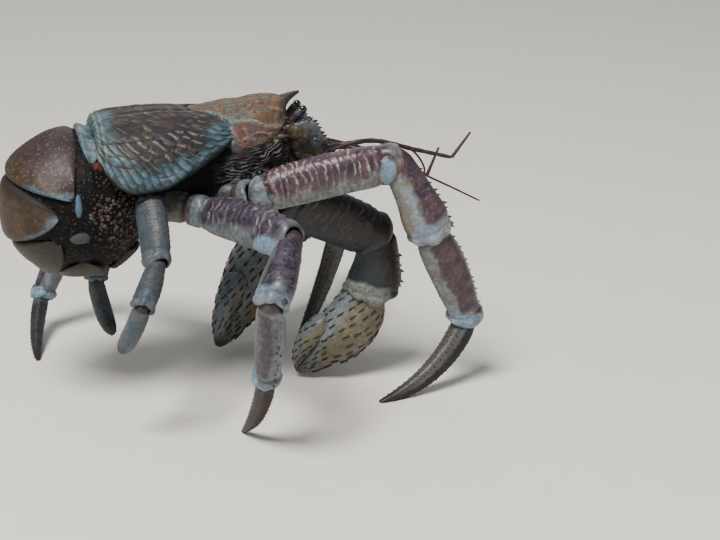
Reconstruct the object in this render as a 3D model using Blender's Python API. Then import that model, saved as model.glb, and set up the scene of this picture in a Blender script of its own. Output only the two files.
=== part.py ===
"""Coconut crab (Birgus latro), one still life-size model, in metres with +Z up.

The crab crouches with its head along +X and its left side along +Y.  Its body frame has
y = 0 on the midline and z = 0 on the floor.  The last step moves everything sideways, so
that the origin is under the middle of the whole animal.
"""
from math import copysign, cos, pi, radians, sin
from types import SimpleNamespace as Sizes

import bmesh
import bpy
from mathutils import Matrix, Vector

# One millimetre, in which the driving sizes below are written
MM = 0.001

# Clearance between pieces that meet face to face
GAP = 0.35 * MM

# Sides of the round sections
LIMB_SIDES = 10
SLENDER_SIDES = 8
BODY_SIDES = 22
FEELER_SIDES = 6

# Width in millimetres up to which a limb piece is slender
SLENDER = 16

# Colours and roughness of the materials
FINISHES = {
    "shell_blue": ((0.17, 0.26, 0.33), 0.42),
    "shell_purple": ((0.17, 0.10, 0.13), 0.40),
    "claw_pale": ((0.50, 0.47, 0.40), 0.45),
    "flesh": ((0.07, 0.05, 0.045), 0.65),
    "eye": ((0.012, 0.010, 0.010), 0.12),
    "feeler": ((0.10, 0.05, 0.03), 0.50),
    "horn_dark": ((0.12, 0.10, 0.09), 0.38),
}

# Outlines of the limb pieces: share of the length, share of the depth, share of the width
MERUS_OUTLINE = ((0.00, 0.46, 0.62), (0.05, 0.72, 0.86), (0.20, 0.94, 1.00), (0.50, 1.00, 0.98),
                 (0.80, 0.98, 0.96), (0.95, 0.90, 0.92), (1.03, 0.62, 0.66))
CARPUS_OUTLINE = ((-0.10, 0.30, 0.42), (-0.04, 0.46, 0.60), (0.12, 0.62, 0.80), (0.45, 0.84, 0.96),
                  (0.80, 1.00, 1.00), (0.98, 0.98, 0.94), (1.06, 0.70, 0.72))
PROPODUS_OUTLINE = ((-0.09, 0.40, 0.46), (-0.03, 0.62, 0.66), (0.08, 0.90, 0.90), (0.30, 1.00, 1.00),
                    (0.65, 0.92, 0.96), (0.93, 0.88, 0.94), (1.02, 0.62, 0.70))
DACTYL_OUTLINE = ((-0.07, 0.50, 0.52), (-0.02, 0.80, 0.80), (0.10, 1.00, 1.00), (0.35, 0.88, 0.90),
                  (0.60, 0.70, 0.76), (0.82, 0.48, 0.56), (1.00, 0.24, 0.32))
HIP_OUTLINE = ((-0.30, 0.80, 0.80), (0.05, 1.00, 1.00), (0.45, 0.94, 0.94), (0.85, 0.98, 0.96),
               (1.06, 0.68, 0.66))
PALM_OUTLINE = ((-0.09, 0.36, 0.40), (-0.03, 0.56, 0.62), (0.10, 0.86, 0.90), (0.32, 1.00, 1.00),
                (0.56, 0.88, 0.92), (0.72, 0.56, 0.66), (0.87, 0.36, 0.46), (1.00, 0.12, 0.20))
FINGER_OUTLINE = ((-0.06, 0.62, 0.50), (0.02, 0.95, 0.86), (0.20, 1.00, 1.00), (0.50, 0.80, 0.84),
                  (0.78, 0.50, 0.56), (1.00, 0.14, 0.20))

# Pieces of each pair of limbs: length, depth from upper to lower edge, width front to back
WALKER_2 = (
    Sizes(name="merus", length=104, depth=31, width=23, outline=MERUS_OUTLINE, finish="shell_purple"),
    Sizes(name="carpus", length=60, depth=33, width=24, outline=CARPUS_OUTLINE, finish="shell_purple"),
    Sizes(name="propodus", length=80, depth=29, width=22, outline=PROPODUS_OUTLINE,
          finish="shell_purple"),
    Sizes(name="dactyl", length=90, depth=18, width=15, outline=DACTYL_OUTLINE, finish="horn_dark"),
)
WALKER_3 = (
    Sizes(name="merus", length=90, depth=29, width=22, outline=MERUS_OUTLINE, finish="shell_purple"),
    Sizes(name="carpus", length=52, depth=27, width=21, outline=CARPUS_OUTLINE, finish="shell_purple"),
    Sizes(name="propodus", length=68, depth=22, width=18, outline=PROPODUS_OUTLINE,
          finish="shell_purple"),
    Sizes(name="dactyl", length=72, depth=13, width=12, outline=DACTYL_OUTLINE, finish="horn_dark"),
)
WALKER_4 = (
    Sizes(name="merus", length=52, depth=23, width=17, outline=MERUS_OUTLINE, finish="shell_blue"),
    Sizes(name="carpus", length=38, depth=19, width=15, outline=CARPUS_OUTLINE, finish="shell_blue"),
    Sizes(name="hand", length=46, depth=14, width=12, outline=PALM_OUTLINE, finish="shell_blue"),
)
CLAW_ARM = (
    Sizes(name="merus", length=82, depth=38, width=28, outline=MERUS_OUTLINE, finish="shell_purple"),
    Sizes(name="carpus", length=44, depth=40, width=32, outline=CARPUS_OUTLINE, finish="shell_purple"),
    Sizes(name="palm", length=84, depth=43, width=33, outline=PALM_OUTLINE, finish="claw_pale"),
)

# Movable finger of a pincer, as shares of the palm's length, depth and width, and its teeth
FINGER = Sizes(length=0.56, depth=0.42, width=0.54, lift=0.27, tip_lift=0.06, bow=5.0,
               teeth=(0.30, 0.50, 0.70), tooth=3.0)
PALM_BOW = -6.0
# Short upper finger of the last leg's little pincer
SMALL_FINGER = Sizes(root=0.58, depth=6.0, width=6.5, lift=3.4, tip_lift=1.2, bow=1.2)

# Teeth on the upper edges: places along the piece, and length
CARPUS_TEETH = Sizes(spots=(0.36, 0.58, 0.80), length=3.4)
CARPUS_SPIKE = Sizes(spots=(0.99,), length=5.0)
PROPODUS_TEETH = Sizes(spots=(0.14, 0.36, 0.58, 0.80), length=2.6)
CLAW_TEETH = Sizes(spots=(0.3, 0.5, 0.7, 0.9), length=4.2)
TOOTH_RADIUS = 0.42
TOOTH_ROOT = 0.45

# Hinge knobs at the far end of a merus: radii, and place from the end, the middle and the side
HINGE = Sizes(radii=(8.5, 3.6, 8.5), back=6.5, below=0.10, out=0.39)

# Bow of the pieces that stand on no floor: share of the length, and of a pincer limb
PIECE_BOW = 0.02
CLAW_BOW = 2.0
# Length of a walking leg's tip that its flat foot cuts off
FOOT_CUT = 2

# Places of the limbs: root of the merus, hip's inner end, and the heading and pitch of each
# piece in degrees; a limb that stands on the floor has its dactyl's pitch worked out
LIMBS = {
    "leg_2_right": Sizes(pair=WALKER_2, root=(3, -45, 156), hip=(-12, -26, 152), hip_depth=25,
                         turns=((-5, 11), (-12, -65), (28, -62), (-164, None)), bow=11),
    "leg_2_left": Sizes(pair=WALKER_2, root=(3, 45, 156), hip=(-12, 26, 152), hip_depth=25,
                        turns=((56, -17), (33, -15), (-98, -20), (-167, None)), bow=7),
    "leg_3_right": Sizes(pair=WALKER_3, root=(-29, -46, 147), hip=(-52, -27, 150), hip_depth=24,
                         turns=((-63, 0), (-120, -36), (85, -64), (100, None)), bow=5),
    "leg_3_left": Sizes(pair=WALKER_3, root=(-29, 46, 147), hip=(-52, 27, 150), hip_depth=24,
                        turns=((127, -13), (124, -43), (173, -64), (-98, None)), bow=5),
    "leg_4_right": Sizes(pair=WALKER_4, root=(-68, -42, 159), hip=None, hip_depth=0,
                         turns=((-91, -42), (-117, -32), (118, -55)), bow=2),
    "leg_4_left": Sizes(pair=WALKER_4, root=(-68, 42, 159), hip=None, hip_depth=0,
                        turns=((160, -69), (166, -70), (-72, -53)), bow=2),
}
CLAWS = {
    "claw_right": Sizes(scale=1.00, root=(28, -27, 146), hip=(12, -12, 146), hip_depth=31,
                        turns=((8, -25), (157, -83), (161, -49))),
    "claw_left": Sizes(scale=1.14, root=(28, 30, 146), hip=(12, 14, 146), hip_depth=34,
                       turns=((50, -26), (164, -31), (-136, -48))),
}

# Rear of the carapace, front to back: x, half width, height of the edge, top, underside
CARAPACE_REAR = ((-4, 27, 196, 205, 190), (-10, 34, 194, 208, 186), (-22, 43, 189, 211, 179),
                 (-40, 51, 179, 212, 170), (-58, 56, 171, 213, 164), (-76, 57, 169, 212, 162),
                 (-88, 53, 173, 211, 166), (-96, 44, 182, 209, 174), (-100, 28, 192, 206, 184))

# Front shield, front to back: x, half width, height of the edge, top, underside
FRONT_SHIELD = ((34, 15, 200, 215, 192), (29, 24, 193, 217, 184), (18, 29, 189, 217, 179),
                (4, 32, 188, 215, 178), (-8, 34, 189, 213, 178), (-14, 33, 190, 211, 180))
# Back end of the shield, which runs between the gill lobes: x, half width, edge, top, underside
SHIELD_TONGUE = ((-2, 24, 204, 214, 198), (-14, 20, 205, 213, 200), (-24, 14, 206, 212, 202),
                 (-31, 8, 207, 211.5, 204))
ROSTRUM = Sizes(root_x=24, tip_x=47, root_z=212, tip_z=218.5, half_width=9, depth=7, tip=1.1)
# Corner teeth of the shield's front edge: x, y, z, length
SHIELD_TEETH = ((31, 17, 203, 7), (30, 24, 192, 6))

# Body under the carapace, front to back: x, half width, height of the widest part, top, underside
THORAX = ((46, 8, 176, 186, 166), (38, 19, 174, 192, 158), (26, 30, 174, 198, 146),
          (6, 36, 170, 200, 136), (-18, 34, 164, 200, 132), (-44, 34, 160, 196, 131),
          (-70, 34, 160, 194, 134), (-90, 28, 166, 192, 142), (-104, 18, 170, 188, 150))

# Abdomen: a round bag whose side outline turns from its front over the back to the belly
ABDOMEN = Sizes(x=-112, z=151.5, radius=50.5, belly=2.5, belly_turn=250, half_width=50)
ABDOMEN_LEANS = (-78, -66, -53, -40, -27, -13, 0, 13, 27, 40, 53, 66, 78)
# Plates of the abdomen: first and last turn, sideways reach, in degrees
TERGITES = ((66, 89, 46), (90, 157, 74), (158, 207, 71), (208, 250, 60), (251, 289, 46))
TAIL_PLATE = (290, 322, 26)
PLATE_RISE = 2.6 * MM
PLATE_SINK = 2.4 * MM
PLATE_FACET = 17
PLATE_ACROSS = 10
# Swellings low on the abdomen's sides: turn, lean, size
SIDE_KNOBS = ((62, 74, 5.5), (20, 79, 6.0), (262, 66, 7.5))

# Head: eyes, feelers and mouthparts
EYE = Sizes(x=39, y=8, z=198, length=13, depth=6.4, width=5.4, heading=10, pitch=44,
            radii=(2.9, 2.7, 3.3))
EYESTALK_OUTLINE = ((-0.6, 0.7, 0.8), (0.1, 1.0, 1.0), (0.5, 0.9, 0.9), (0.8, 0.8, 0.8))
ANTENNA_BASE = Sizes(start=(38, 14, 193), end=(70, 16, 178), depth=14, width=10)
ANTENNA_OUTLINE = ((-0.2, 0.8, 0.8), (0.15, 1.0, 1.0), (0.40, 0.82, 0.9), (0.48, 0.9, 0.95),
                   (0.72, 0.62, 0.7), (0.78, 0.6, 0.66), (1.0, 0.34, 0.4))
# Pointed scale on the outer side of an antenna's base
ANTENNA_SCALE = Sizes(spot=0.35, out=3.4, lean=0.30, length=9, radius=2.8)
WHIP_THICK = Sizes(root=1.9, tip=0.9)
STEM_THICK = Sizes(root=4.2, tip=2.8)
ANTENNULE_TIP_THICK = Sizes(root=2.4, tip=1.0)
# Routes of the feelers, each a few points of a smooth curve
WHIP_ROUTES = {
    "right": ((70, -16, 179), (82, -22, 184), (95, -22, 185), (122, -22, 178), (134, -22, 164),
              (134, -22, 153)),
    "left": ((70, 16, 179), (96, 24, 170), (118, 28, 161), (134, 30, 154), (153, 30, 142),
             (172, 30, 132), (196, 31, 119)),
}
STEM_ROUTES = {
    "right": ((45, -4.5, 186), (72, -8, 180), (100, -12, 182), (128, -16, 175), (156, -20, 168)),
    "left": ((45, 4.5, 186), (74, 8, 176), (104, 14, 166), (130, 19, 155), (150, 20, 145)),
}
ANTENNULE_ENDS = {"right": (170, -20, 186), "left": (159, 20, 166)}
MOUTH = Sizes(x=34, z=162, reach=30, drop=26, spread=7, depth=12, width=7, thin=0.65,
              root_depth=15, root_width=26, root_back=16, root_ahead=4)


def vector(point):
    """A point written in millimetres, as a vector in metres."""
    return Vector(point) * MM


def direction(heading, pitch):
    """Unit vector of a heading and a pitch in degrees."""
    a = radians(heading)
    e = radians(pitch)
    return Vector((cos(a) * cos(e), sin(a) * cos(e), sin(e)))


def make_material(name):
    colour, roughness = FINISHES[name]
    material = bpy.data.materials.new(name)
    material.use_nodes = True
    shader = material.node_tree.nodes["Principled BSDF"]
    shader.inputs["Base Color"].default_value = (*colour, 1.0)
    shader.inputs["Roughness"].default_value = roughness
    return material


def make_object(name, bm, finish):
    """Turn a bmesh into a named object with its material."""
    bmesh.ops.recalc_face_normals(bm, faces=bm.faces)
    mesh = bpy.data.meshes.new(name)
    bm.to_mesh(mesh)
    bm.free()
    mesh.shade_smooth()
    piece = bpy.data.objects.new(name, mesh)
    bpy.context.scene.collection.objects.link(piece)
    mesh.materials.append(bpy.data.materials.get(finish) or make_material(finish))
    return piece


def section(centre, side, up, half_width, rise, drop, sides, square=2.3, square_low=None):
    """One closed ring: half ovals above and below the centre."""
    points = []
    for i in range(sides):
        a = 2 * pi * (i + 0.5) / sides
        power = 2 / (square if sin(a) > 0 or square_low is None else square_low)
        across = copysign(abs(cos(a)) ** power, cos(a)) * half_width
        height = copysign(abs(sin(a)) ** power, sin(a)) * (rise if sin(a) > 0 else drop)
        points.append(centre + side * across + up * height)
    return points


def loft(name, rings, poles, finish):
    """A closed skin through the rings, with a point at each end."""
    bm = bmesh.new()
    rows = [[bm.verts.new(p) for p in ring] for ring in rings]
    count = len(rows[0])
    for low, high in zip(rows, rows[1:]):
        for i in range(count):
            j = (i + 1) % count
            bm.faces.new((low[i], low[j], high[j], high[i]))
    for row, pole in ((rows[0], poles[0]), (rows[-1], poles[1])):
        tip = bm.verts.new(pole)
        for i in range(count):
            bm.faces.new((row[i], row[(i + 1) % count], tip))
    return make_object(name, bm, finish)


def smooth_route(points, steps):
    """Points along a Catmull-Rom curve through the route's own points."""
    route = [vector(p) for p in points]
    padded = [2 * route[0] - route[1]] + route + [2 * route[-1] - route[-2]]
    result = []
    for a, b, c, d in zip(padded, padded[1:], padded[2:], padded[3:]):
        for i in range(steps):
            t = i / steps
            result.append(0.5 * ((2 * b) + (c - a) * t + (2 * a - 5 * b + 4 * c - d) * t * t
                                 + (3 * b - a - 3 * c + d) * t ** 3))
    result.append(route[-1])
    return result


def feeler(name, points, thick, finish="feeler"):
    """A tapering rod along a smooth route."""
    route = smooth_route(points, 3)
    rings = []
    for i, point in enumerate(route):
        before = route[max(i - 1, 0)]
        after = route[min(i + 1, len(route) - 1)]
        ahead = (after - before).normalized()
        side = ahead.cross(Vector((0, 0, 1))).normalized()
        up = side.cross(ahead)
        share = i / (len(route) - 1)
        radius = (thick.root + (thick.tip - thick.root) * share) / 2 * MM
        rings.append(section(point, side, up, radius, radius, radius, FEELER_SIDES, 2.0))
    nose = (route[-1] - route[-2]).normalized() * thick.tip / 2 * MM
    tail = (route[0] - route[1]).normalized() * thick.root / 3 * MM
    return loft(name, rings, (route[0] + tail, route[-1] + nose), finish)


def limb_piece(name, start, end, dorsal, size, scale=1.0, bow=0.0):
    """One limb piece along start to end, its axis bowed towards the upper edge."""
    sides = LIMB_SIDES if size.width * scale > SLENDER else SLENDER_SIDES
    ahead = (end - start).normalized()
    dorsal = (dorsal - ahead * dorsal.dot(ahead)).normalized()
    side = ahead.cross(dorsal)
    half_depth = size.depth / 2 * scale * MM
    half_width = size.width / 2 * scale * MM
    rings = []
    for share, deep, wide in size.outline:
        inside = min(max(share, 0.0), 1.0)
        arch = 4 * inside * (1 - inside) * bow * MM
        centre = start + (end - start) * share + dorsal * arch
        rings.append(section(centre, side, dorsal, half_width * wide, half_depth * deep,
                             half_depth * deep, sides))
    first, last = size.outline[0], size.outline[-1]
    reach = (end - start).length
    poles = (start + ahead * (first[0] * reach - 0.35 * half_depth * first[1]),
             end + ahead * ((last[0] - 1) * reach + 0.35 * half_depth * last[1]))
    return loft(name, rings, poles, size.finish)


def spine(place, aim, length, radius):
    """A small cone whose root is sunk in what carries it."""
    bm = bmesh.new()
    turn = aim.to_track_quat("Z", "Y").to_matrix().to_4x4()
    middle = place + aim * length * (0.5 - TOOTH_ROOT / 2)
    bmesh.ops.create_cone(bm, cap_ends=True, segments=4, radius1=radius, radius2=0.0,
                          depth=length * (1 + TOOTH_ROOT), matrix=Matrix.Translation(middle) @ turn)
    return make_object("spine", bm, "horn_dark")


def knob(place, radii, turn=None):
    """A small oval swelling."""
    bm = bmesh.new()
    shape = Matrix.Diagonal((*radii, 1.0))
    matrix = Matrix.Translation(place) @ (turn or Matrix.Identity(4)) @ shape
    bmesh.ops.create_icosphere(bm, subdivisions=1, radius=1.0, matrix=matrix)
    return make_object("knob", bm, "horn_dark")


def apply_boolean(piece, operation, other=None, group=None):
    """Apply one Boolean with an object or with a collection of objects."""
    cut = piece.modifiers.new(operation, "BOOLEAN")
    cut.operation = operation
    cut.solver = "EXACT"
    if group:
        cut.operand_type = "COLLECTION"
        cut.collection = group
    else:
        cut.object = other
    with bpy.context.temp_override(object=piece, active_object=piece):
        bpy.ops.object.modifier_apply(modifier=cut.name)


def keep_largest(piece):
    """Keep only the largest closed surface of a piece."""
    bm = bmesh.new()
    bm.from_mesh(piece.data)
    bmesh.ops.triangulate(bm, faces=bm.faces)
    waiting = set(bm.faces)
    islands = []
    while waiting:
        island = []
        front = [waiting.pop()]
        while front:
            face = front.pop()
            island.append(face)
            for edge in face.edges:
                near = [f for f in edge.link_faces if f in waiting]
                waiting.difference_update(near)
                front.extend(near)
        islands.append(island)

    def volume(island):
        return abs(sum(f.verts[0].co.dot(f.verts[1].co.cross(f.verts[2].co)) for f in island)) / 6

    islands.sort(key=volume)
    scraps = [f for island in islands[:-1] for f in island]
    bmesh.ops.delete(bm, geom=scraps, context="FACES")
    loose = [v for v in bm.verts if not v.link_faces]
    bmesh.ops.delete(bm, geom=loose, context="VERTS")
    bmesh.ops.remove_doubles(bm, verts=bm.verts, dist=0.03 * MM)
    bmesh.ops.dissolve_degenerate(bm, edges=bm.edges, dist=0.01 * MM)
    bm.to_mesh(piece.data)
    bm.free()


def merge_flats(piece):
    """Merge the faces that lie in one plane, where the piece stays closed by it."""
    bm = bmesh.new()
    bm.from_mesh(piece.data)
    bmesh.ops.dissolve_limit(bm, angle_limit=radians(0.6), verts=bm.verts, edges=bm.edges)
    bmesh.ops.triangulate(bm, faces=bm.faces)
    if all(len(edge.link_faces) == 2 for edge in bm.edges):
        bm.to_mesh(piece.data)
    bm.free()


def fuse(piece, extras):
    """Join small pieces to the node that carries them."""
    if not extras:
        return piece
    group = bpy.data.collections.new("extras")
    bpy.context.scene.collection.children.link(group)
    for extra in extras:
        bpy.context.scene.collection.objects.unlink(extra)
        group.objects.link(extra)
    apply_boolean(piece, "UNION", group=group)
    for extra in extras:
        bpy.data.objects.remove(extra)
    bpy.data.collections.remove(group)
    keep_largest(piece)
    finish = piece.data.materials[0]
    piece.data.materials.clear()
    piece.data.materials.append(finish)
    return piece


def carve(piece, cutter, gap=GAP):
    """Cut a piece back from its neighbour, with the gap between them."""
    fat = bpy.data.objects.new("cutter", cutter.data.copy())
    bpy.context.scene.collection.objects.link(fat)
    bm = bmesh.new()
    bm.from_mesh(fat.data)
    moves = [(v, v.normal * gap * min(v.calc_shell_factor(), 2.0)) for v in bm.verts]
    for v, move in moves:
        v.co += move
    bm.to_mesh(fat.data)
    bm.free()
    apply_boolean(piece, "DIFFERENCE", other=fat)
    bpy.data.objects.remove(fat)
    keep_largest(piece)
    finish = piece.data.materials[0]
    piece.data.materials.clear()
    piece.data.materials.append(finish)


def cut_level(piece, height):
    """Cut a piece flat at a height, closing the cut."""
    bm = bmesh.new()
    bm.from_mesh(piece.data)
    geometry = bm.verts[:] + bm.edges[:] + bm.faces[:]
    cut = bmesh.ops.bisect_plane(bm, geom=geometry, plane_co=(0, 0, height), plane_no=(0, 0, 1),
                                 clear_inner=True)
    edges = [e for e in cut["geom_cut"] if isinstance(e, bmesh.types.BMEdge)]
    bmesh.ops.contextual_create(bm, geom=edges)
    bmesh.ops.recalc_face_normals(bm, faces=bm.faces)
    bm.to_mesh(piece.data)
    bm.free()


def limb_points(limb, sizes, scale=1.0):
    """Joints of a limb, from its root to its tip."""
    points = [vector(limb.root)]
    for size, (heading, pitch) in zip(sizes, limb.turns):
        length = size.length * scale * MM
        if pitch is None:
            fall = points[-1].z
            level = (length ** 2 - fall ** 2) ** 0.5
            step = Vector((cos(radians(heading)) * level, sin(radians(heading)) * level, -fall))
        else:
            step = direction(heading, pitch) * length
        points.append(points[-1] + step)
    return points


def upper_edges(points):
    """Direction of the upper edge of each piece, on the outer side of the limb's bend."""
    ahead = points[1] - points[0]
    onward = points[-2] - points[1] if len(points) > 4 else points[-1] - points[1]
    normal = ahead.cross(onward).normalized()
    edges = []
    for start, end in zip(points, points[1:]):
        edges.append(normal.cross(end - start).normalized() * -1)
    return edges


def teeth_along(start, end, dorsal, size, row, scale=1.0, lean=0.35):
    """A row of teeth along the upper edge of a limb piece."""
    tooth = row.length * scale * MM
    ahead = (end - start).normalized()
    dorsal = (dorsal - ahead * dorsal.dot(ahead)).normalized()
    half_depth = size.depth / 2 * scale * MM
    aim = (dorsal + ahead * lean).normalized()
    teeth = []
    for spot in row.spots:
        deep = outline_share(size.outline, spot)
        place = start + (end - start) * spot + dorsal * half_depth * deep * 0.96
        teeth.append(spine(place, aim, tooth, tooth * TOOTH_RADIUS))
    return teeth


def outline_share(outline, spot):
    """Depth share of an outline at a share of its length."""
    for (a, deep_a, _), (b, deep_b, _) in zip(outline, outline[1:]):
        if a <= spot <= b:
            return deep_a + (deep_b - deep_a) * (spot - a) / (b - a)
    return outline[-1][1]


def swellings(end, ahead, dorsal, size, scale=1.0):
    """The two hinge knobs at the far end of a merus."""
    side = ahead.cross(dorsal)
    turn = Matrix((ahead, side, dorsal)).transposed().to_4x4()
    place = end - (ahead * HINGE.back + dorsal * size.depth * HINGE.below) * scale * MM
    radii = Vector(HINGE.radii) * scale * MM
    offset = side * size.width * HINGE.out * scale * MM
    return [knob(place + offset, radii, turn), knob(place - offset, radii, turn)]


def make_hip(name, limb, finish="shell_blue"):
    """The short pieces between the body and the merus, as one."""
    start = vector(limb.hip)
    end = vector(limb.root)
    size = Sizes(depth=limb.hip_depth, width=limb.hip_depth * 0.86, outline=HIP_OUTLINE, finish=finish)
    return limb_piece(f"{name}_hip", start, end, Vector((0, 0, 1)), size)


def make_walker(name, limb):
    """A walking leg: hip, merus, carpus, propodus and dactyl."""
    points = limb_points(limb, limb.pair)
    edges = upper_edges(points)
    pieces = []
    if limb.hip:
        pieces.append(make_hip(name, limb))
    for i, size in enumerate(limb.pair):
        start, end, dorsal = points[i], points[i + 1], edges[i]
        last = i == len(limb.pair) - 1
        bow = limb.bow if last else size.length * PIECE_BOW
        if last and size.name == "dactyl":
            end = end + (end - start).normalized() * FOOT_CUT * MM
        piece = limb_piece(f"{name}_{size.name}", start, end, dorsal, size, bow=bow)
        ahead = (end - start).normalized()
        if size.name == "merus":
            fuse(piece, swellings(end, ahead, dorsal, size))
        if size.name == "carpus" and limb.hip:
            fuse(piece, teeth_along(start, end, dorsal, size, CARPUS_TEETH))
            fuse(piece, teeth_along(start, end, dorsal, size, CARPUS_SPIKE, lean=0.8))
        if size.name == "propodus":
            fuse(piece, teeth_along(start, end, dorsal, size, PROPODUS_TEETH))
        if size.name == "dactyl":
            cut_level(piece, 0.0)
        pieces.append(piece)
    if limb.pair is WALKER_4:
        small = make_small_finger(name, points, edges)
        fuse(pieces[-1], [small])
    for inner, outer in zip(pieces, pieces[1:]):
        carve(inner, outer)
    return pieces


def make_small_finger(name, points, edges):
    """The short upper finger of the last leg's little pincer."""
    start, end, dorsal = points[-2], points[-1], edges[-1]
    root = start.lerp(end, SMALL_FINGER.root) + dorsal * SMALL_FINGER.lift * MM
    tip = end + dorsal * SMALL_FINGER.tip_lift * MM
    size = Sizes(depth=SMALL_FINGER.depth, width=SMALL_FINGER.width, outline=FINGER_OUTLINE,
                 finish="shell_blue")
    return limb_piece(f"{name}_finger", root, tip, dorsal, size, bow=SMALL_FINGER.bow)


def make_claw(name, claw):
    """A pincer limb: hip, merus, carpus, palm with its fixed finger, and movable finger."""
    points = limb_points(claw, CLAW_ARM, claw.scale)
    edges = upper_edges(points)
    pieces = [make_hip(name, claw, "shell_purple")]
    for i, size in enumerate(CLAW_ARM):
        start, end = points[i], points[i + 1]
        dorsal = edges[i] if size.name != "palm" else -edges[i]
        bow = PALM_BOW * claw.scale if size.name == "palm" else CLAW_BOW
        piece = limb_piece(f"{name}_{size.name}", start, end, dorsal, size, claw.scale, bow)
        ahead = (end - start).normalized()
        if size.name == "merus":
            fuse(piece, swellings(end, ahead, dorsal, size, claw.scale))
        if size.name == "carpus":
            fuse(piece, teeth_along(start, end, dorsal, size, CLAW_TEETH, claw.scale))
        pieces.append(piece)
    pieces.append(make_finger(name, claw, points, edges))
    for inner, outer in zip(pieces, pieces[1:]):
        carve(inner, outer)
    return pieces


def make_finger(name, claw, points, edges):
    """The movable finger, hinged on the upper edge of the palm."""
    palm = CLAW_ARM[-1]
    start, end, dorsal = points[-2], points[-1], -edges[-1]
    length = (end - start).length
    lift = palm.depth * claw.scale * MM
    root = start.lerp(end, 1 - FINGER.length) + dorsal * lift * FINGER.lift
    tip = end + dorsal * lift * FINGER.tip_lift - (end - start).normalized() * length * 0.01
    size = Sizes(depth=palm.depth * FINGER.depth, width=palm.width * FINGER.width,
                 outline=FINGER_OUTLINE, finish="claw_pale")
    finger = limb_piece(f"{name}_finger", root, tip, dorsal, size, claw.scale,
                        FINGER.bow * claw.scale)
    teeth = []
    inward = -dorsal
    tooth = Vector((1, 1, 1)) * FINGER.tooth * claw.scale * MM
    for spot in FINGER.teeth:
        place = root.lerp(tip, spot) + inward * size.depth * 0.28 * claw.scale * MM
        teeth.append(knob(place, tooth))
    return fuse(finger, teeth)


def body_rings(stations, square, square_low):
    """Upright rings along the body from x, half width, edge, top and underside."""
    rings = []
    for x, half_width, edge, top, low in stations:
        rings.append(section(vector((x, 0, edge)), Vector((0, -1, 0)), Vector((0, 0, 1)),
                             half_width * MM, (top - edge) * MM, (edge - low) * MM, BODY_SIDES,
                             square, square_low))
    return rings


def body_poles(stations, reach):
    """End points of a body loft, a little past its first and last rings."""
    poles = []
    for station, sign in ((stations[0], 1), (stations[-1], -1)):
        x, _, edge, top, low = station
        poles.append(vector((x + sign * reach, 0, (top + low) / 2)))
    return poles


def make_carapace():
    """The rear carapace with its two gill lobes, and the front shield with the rostrum."""
    rear = loft("carapace_rear", body_rings(CARAPACE_REAR, 2.3, 3.0),
                body_poles(CARAPACE_REAR, 1.0), "shell_blue")
    shield = loft("carapace_shield", body_rings(FRONT_SHIELD, 2.6, 3.0),
                  body_poles(FRONT_SHIELD, 1.0), "shell_purple")
    fuse(shield, [make_rostrum()] + shield_corners())
    tongue = loft("tongue", body_rings(SHIELD_TONGUE, 2.3, 2.3), body_poles(SHIELD_TONGUE, 1.0),
                  "shell_purple")
    carve(rear, tongue)
    carve(shield, rear)
    fuse(shield, [tongue])
    return rear, shield


def make_rostrum():
    """The flat-topped spike over the eyes."""
    rings = []
    for share in (0.0, 0.35, 0.7, 1.0):
        x = ROSTRUM.root_x + (ROSTRUM.tip_x - ROSTRUM.root_x) * share
        z = ROSTRUM.root_z + (ROSTRUM.tip_z - ROSTRUM.root_z) * share
        half = (ROSTRUM.half_width * (1 - share) + ROSTRUM.tip) * MM
        deep = (ROSTRUM.depth * (1 - share) + ROSTRUM.tip) * MM
        rings.append(section(vector((x, 0, z)), Vector((0, -1, 0)), Vector((0, 0, 1)), half,
                             deep * 0.4, deep * 0.6, 8))
    poles = (vector((ROSTRUM.root_x - 1, 0, ROSTRUM.root_z)),
             vector((ROSTRUM.tip_x + 1, 0, ROSTRUM.tip_z + 0.4)))
    return loft("rostrum", rings, poles, "shell_purple")


def shield_corners():
    """The outer corner teeth of the shield's front edge."""
    teeth = []
    for side in (-1, 1):
        for x, y, z, length in SHIELD_TEETH:
            aim = Vector((1, side * 0.35, 0.1)).normalized()
            teeth.append(spine(vector((x, side * y, z)), aim, length * MM, length * 0.45 * MM))
    return teeth


def abdomen_point(turn, lean, rise=0.0):
    """A point of the abdomen's skin, or at a rise over it."""
    a = radians(turn)
    b = radians(lean)
    bulge = ABDOMEN.belly * cos(radians(turn - ABDOMEN.belly_turn))
    radius = (ABDOMEN.radius + bulge) * MM + rise
    half_width = ABDOMEN.half_width * MM + rise
    return Vector((ABDOMEN.x * MM + cos(b) * radius * cos(a), half_width * sin(b),
                   ABDOMEN.z * MM + cos(b) * radius * sin(a)))


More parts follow.
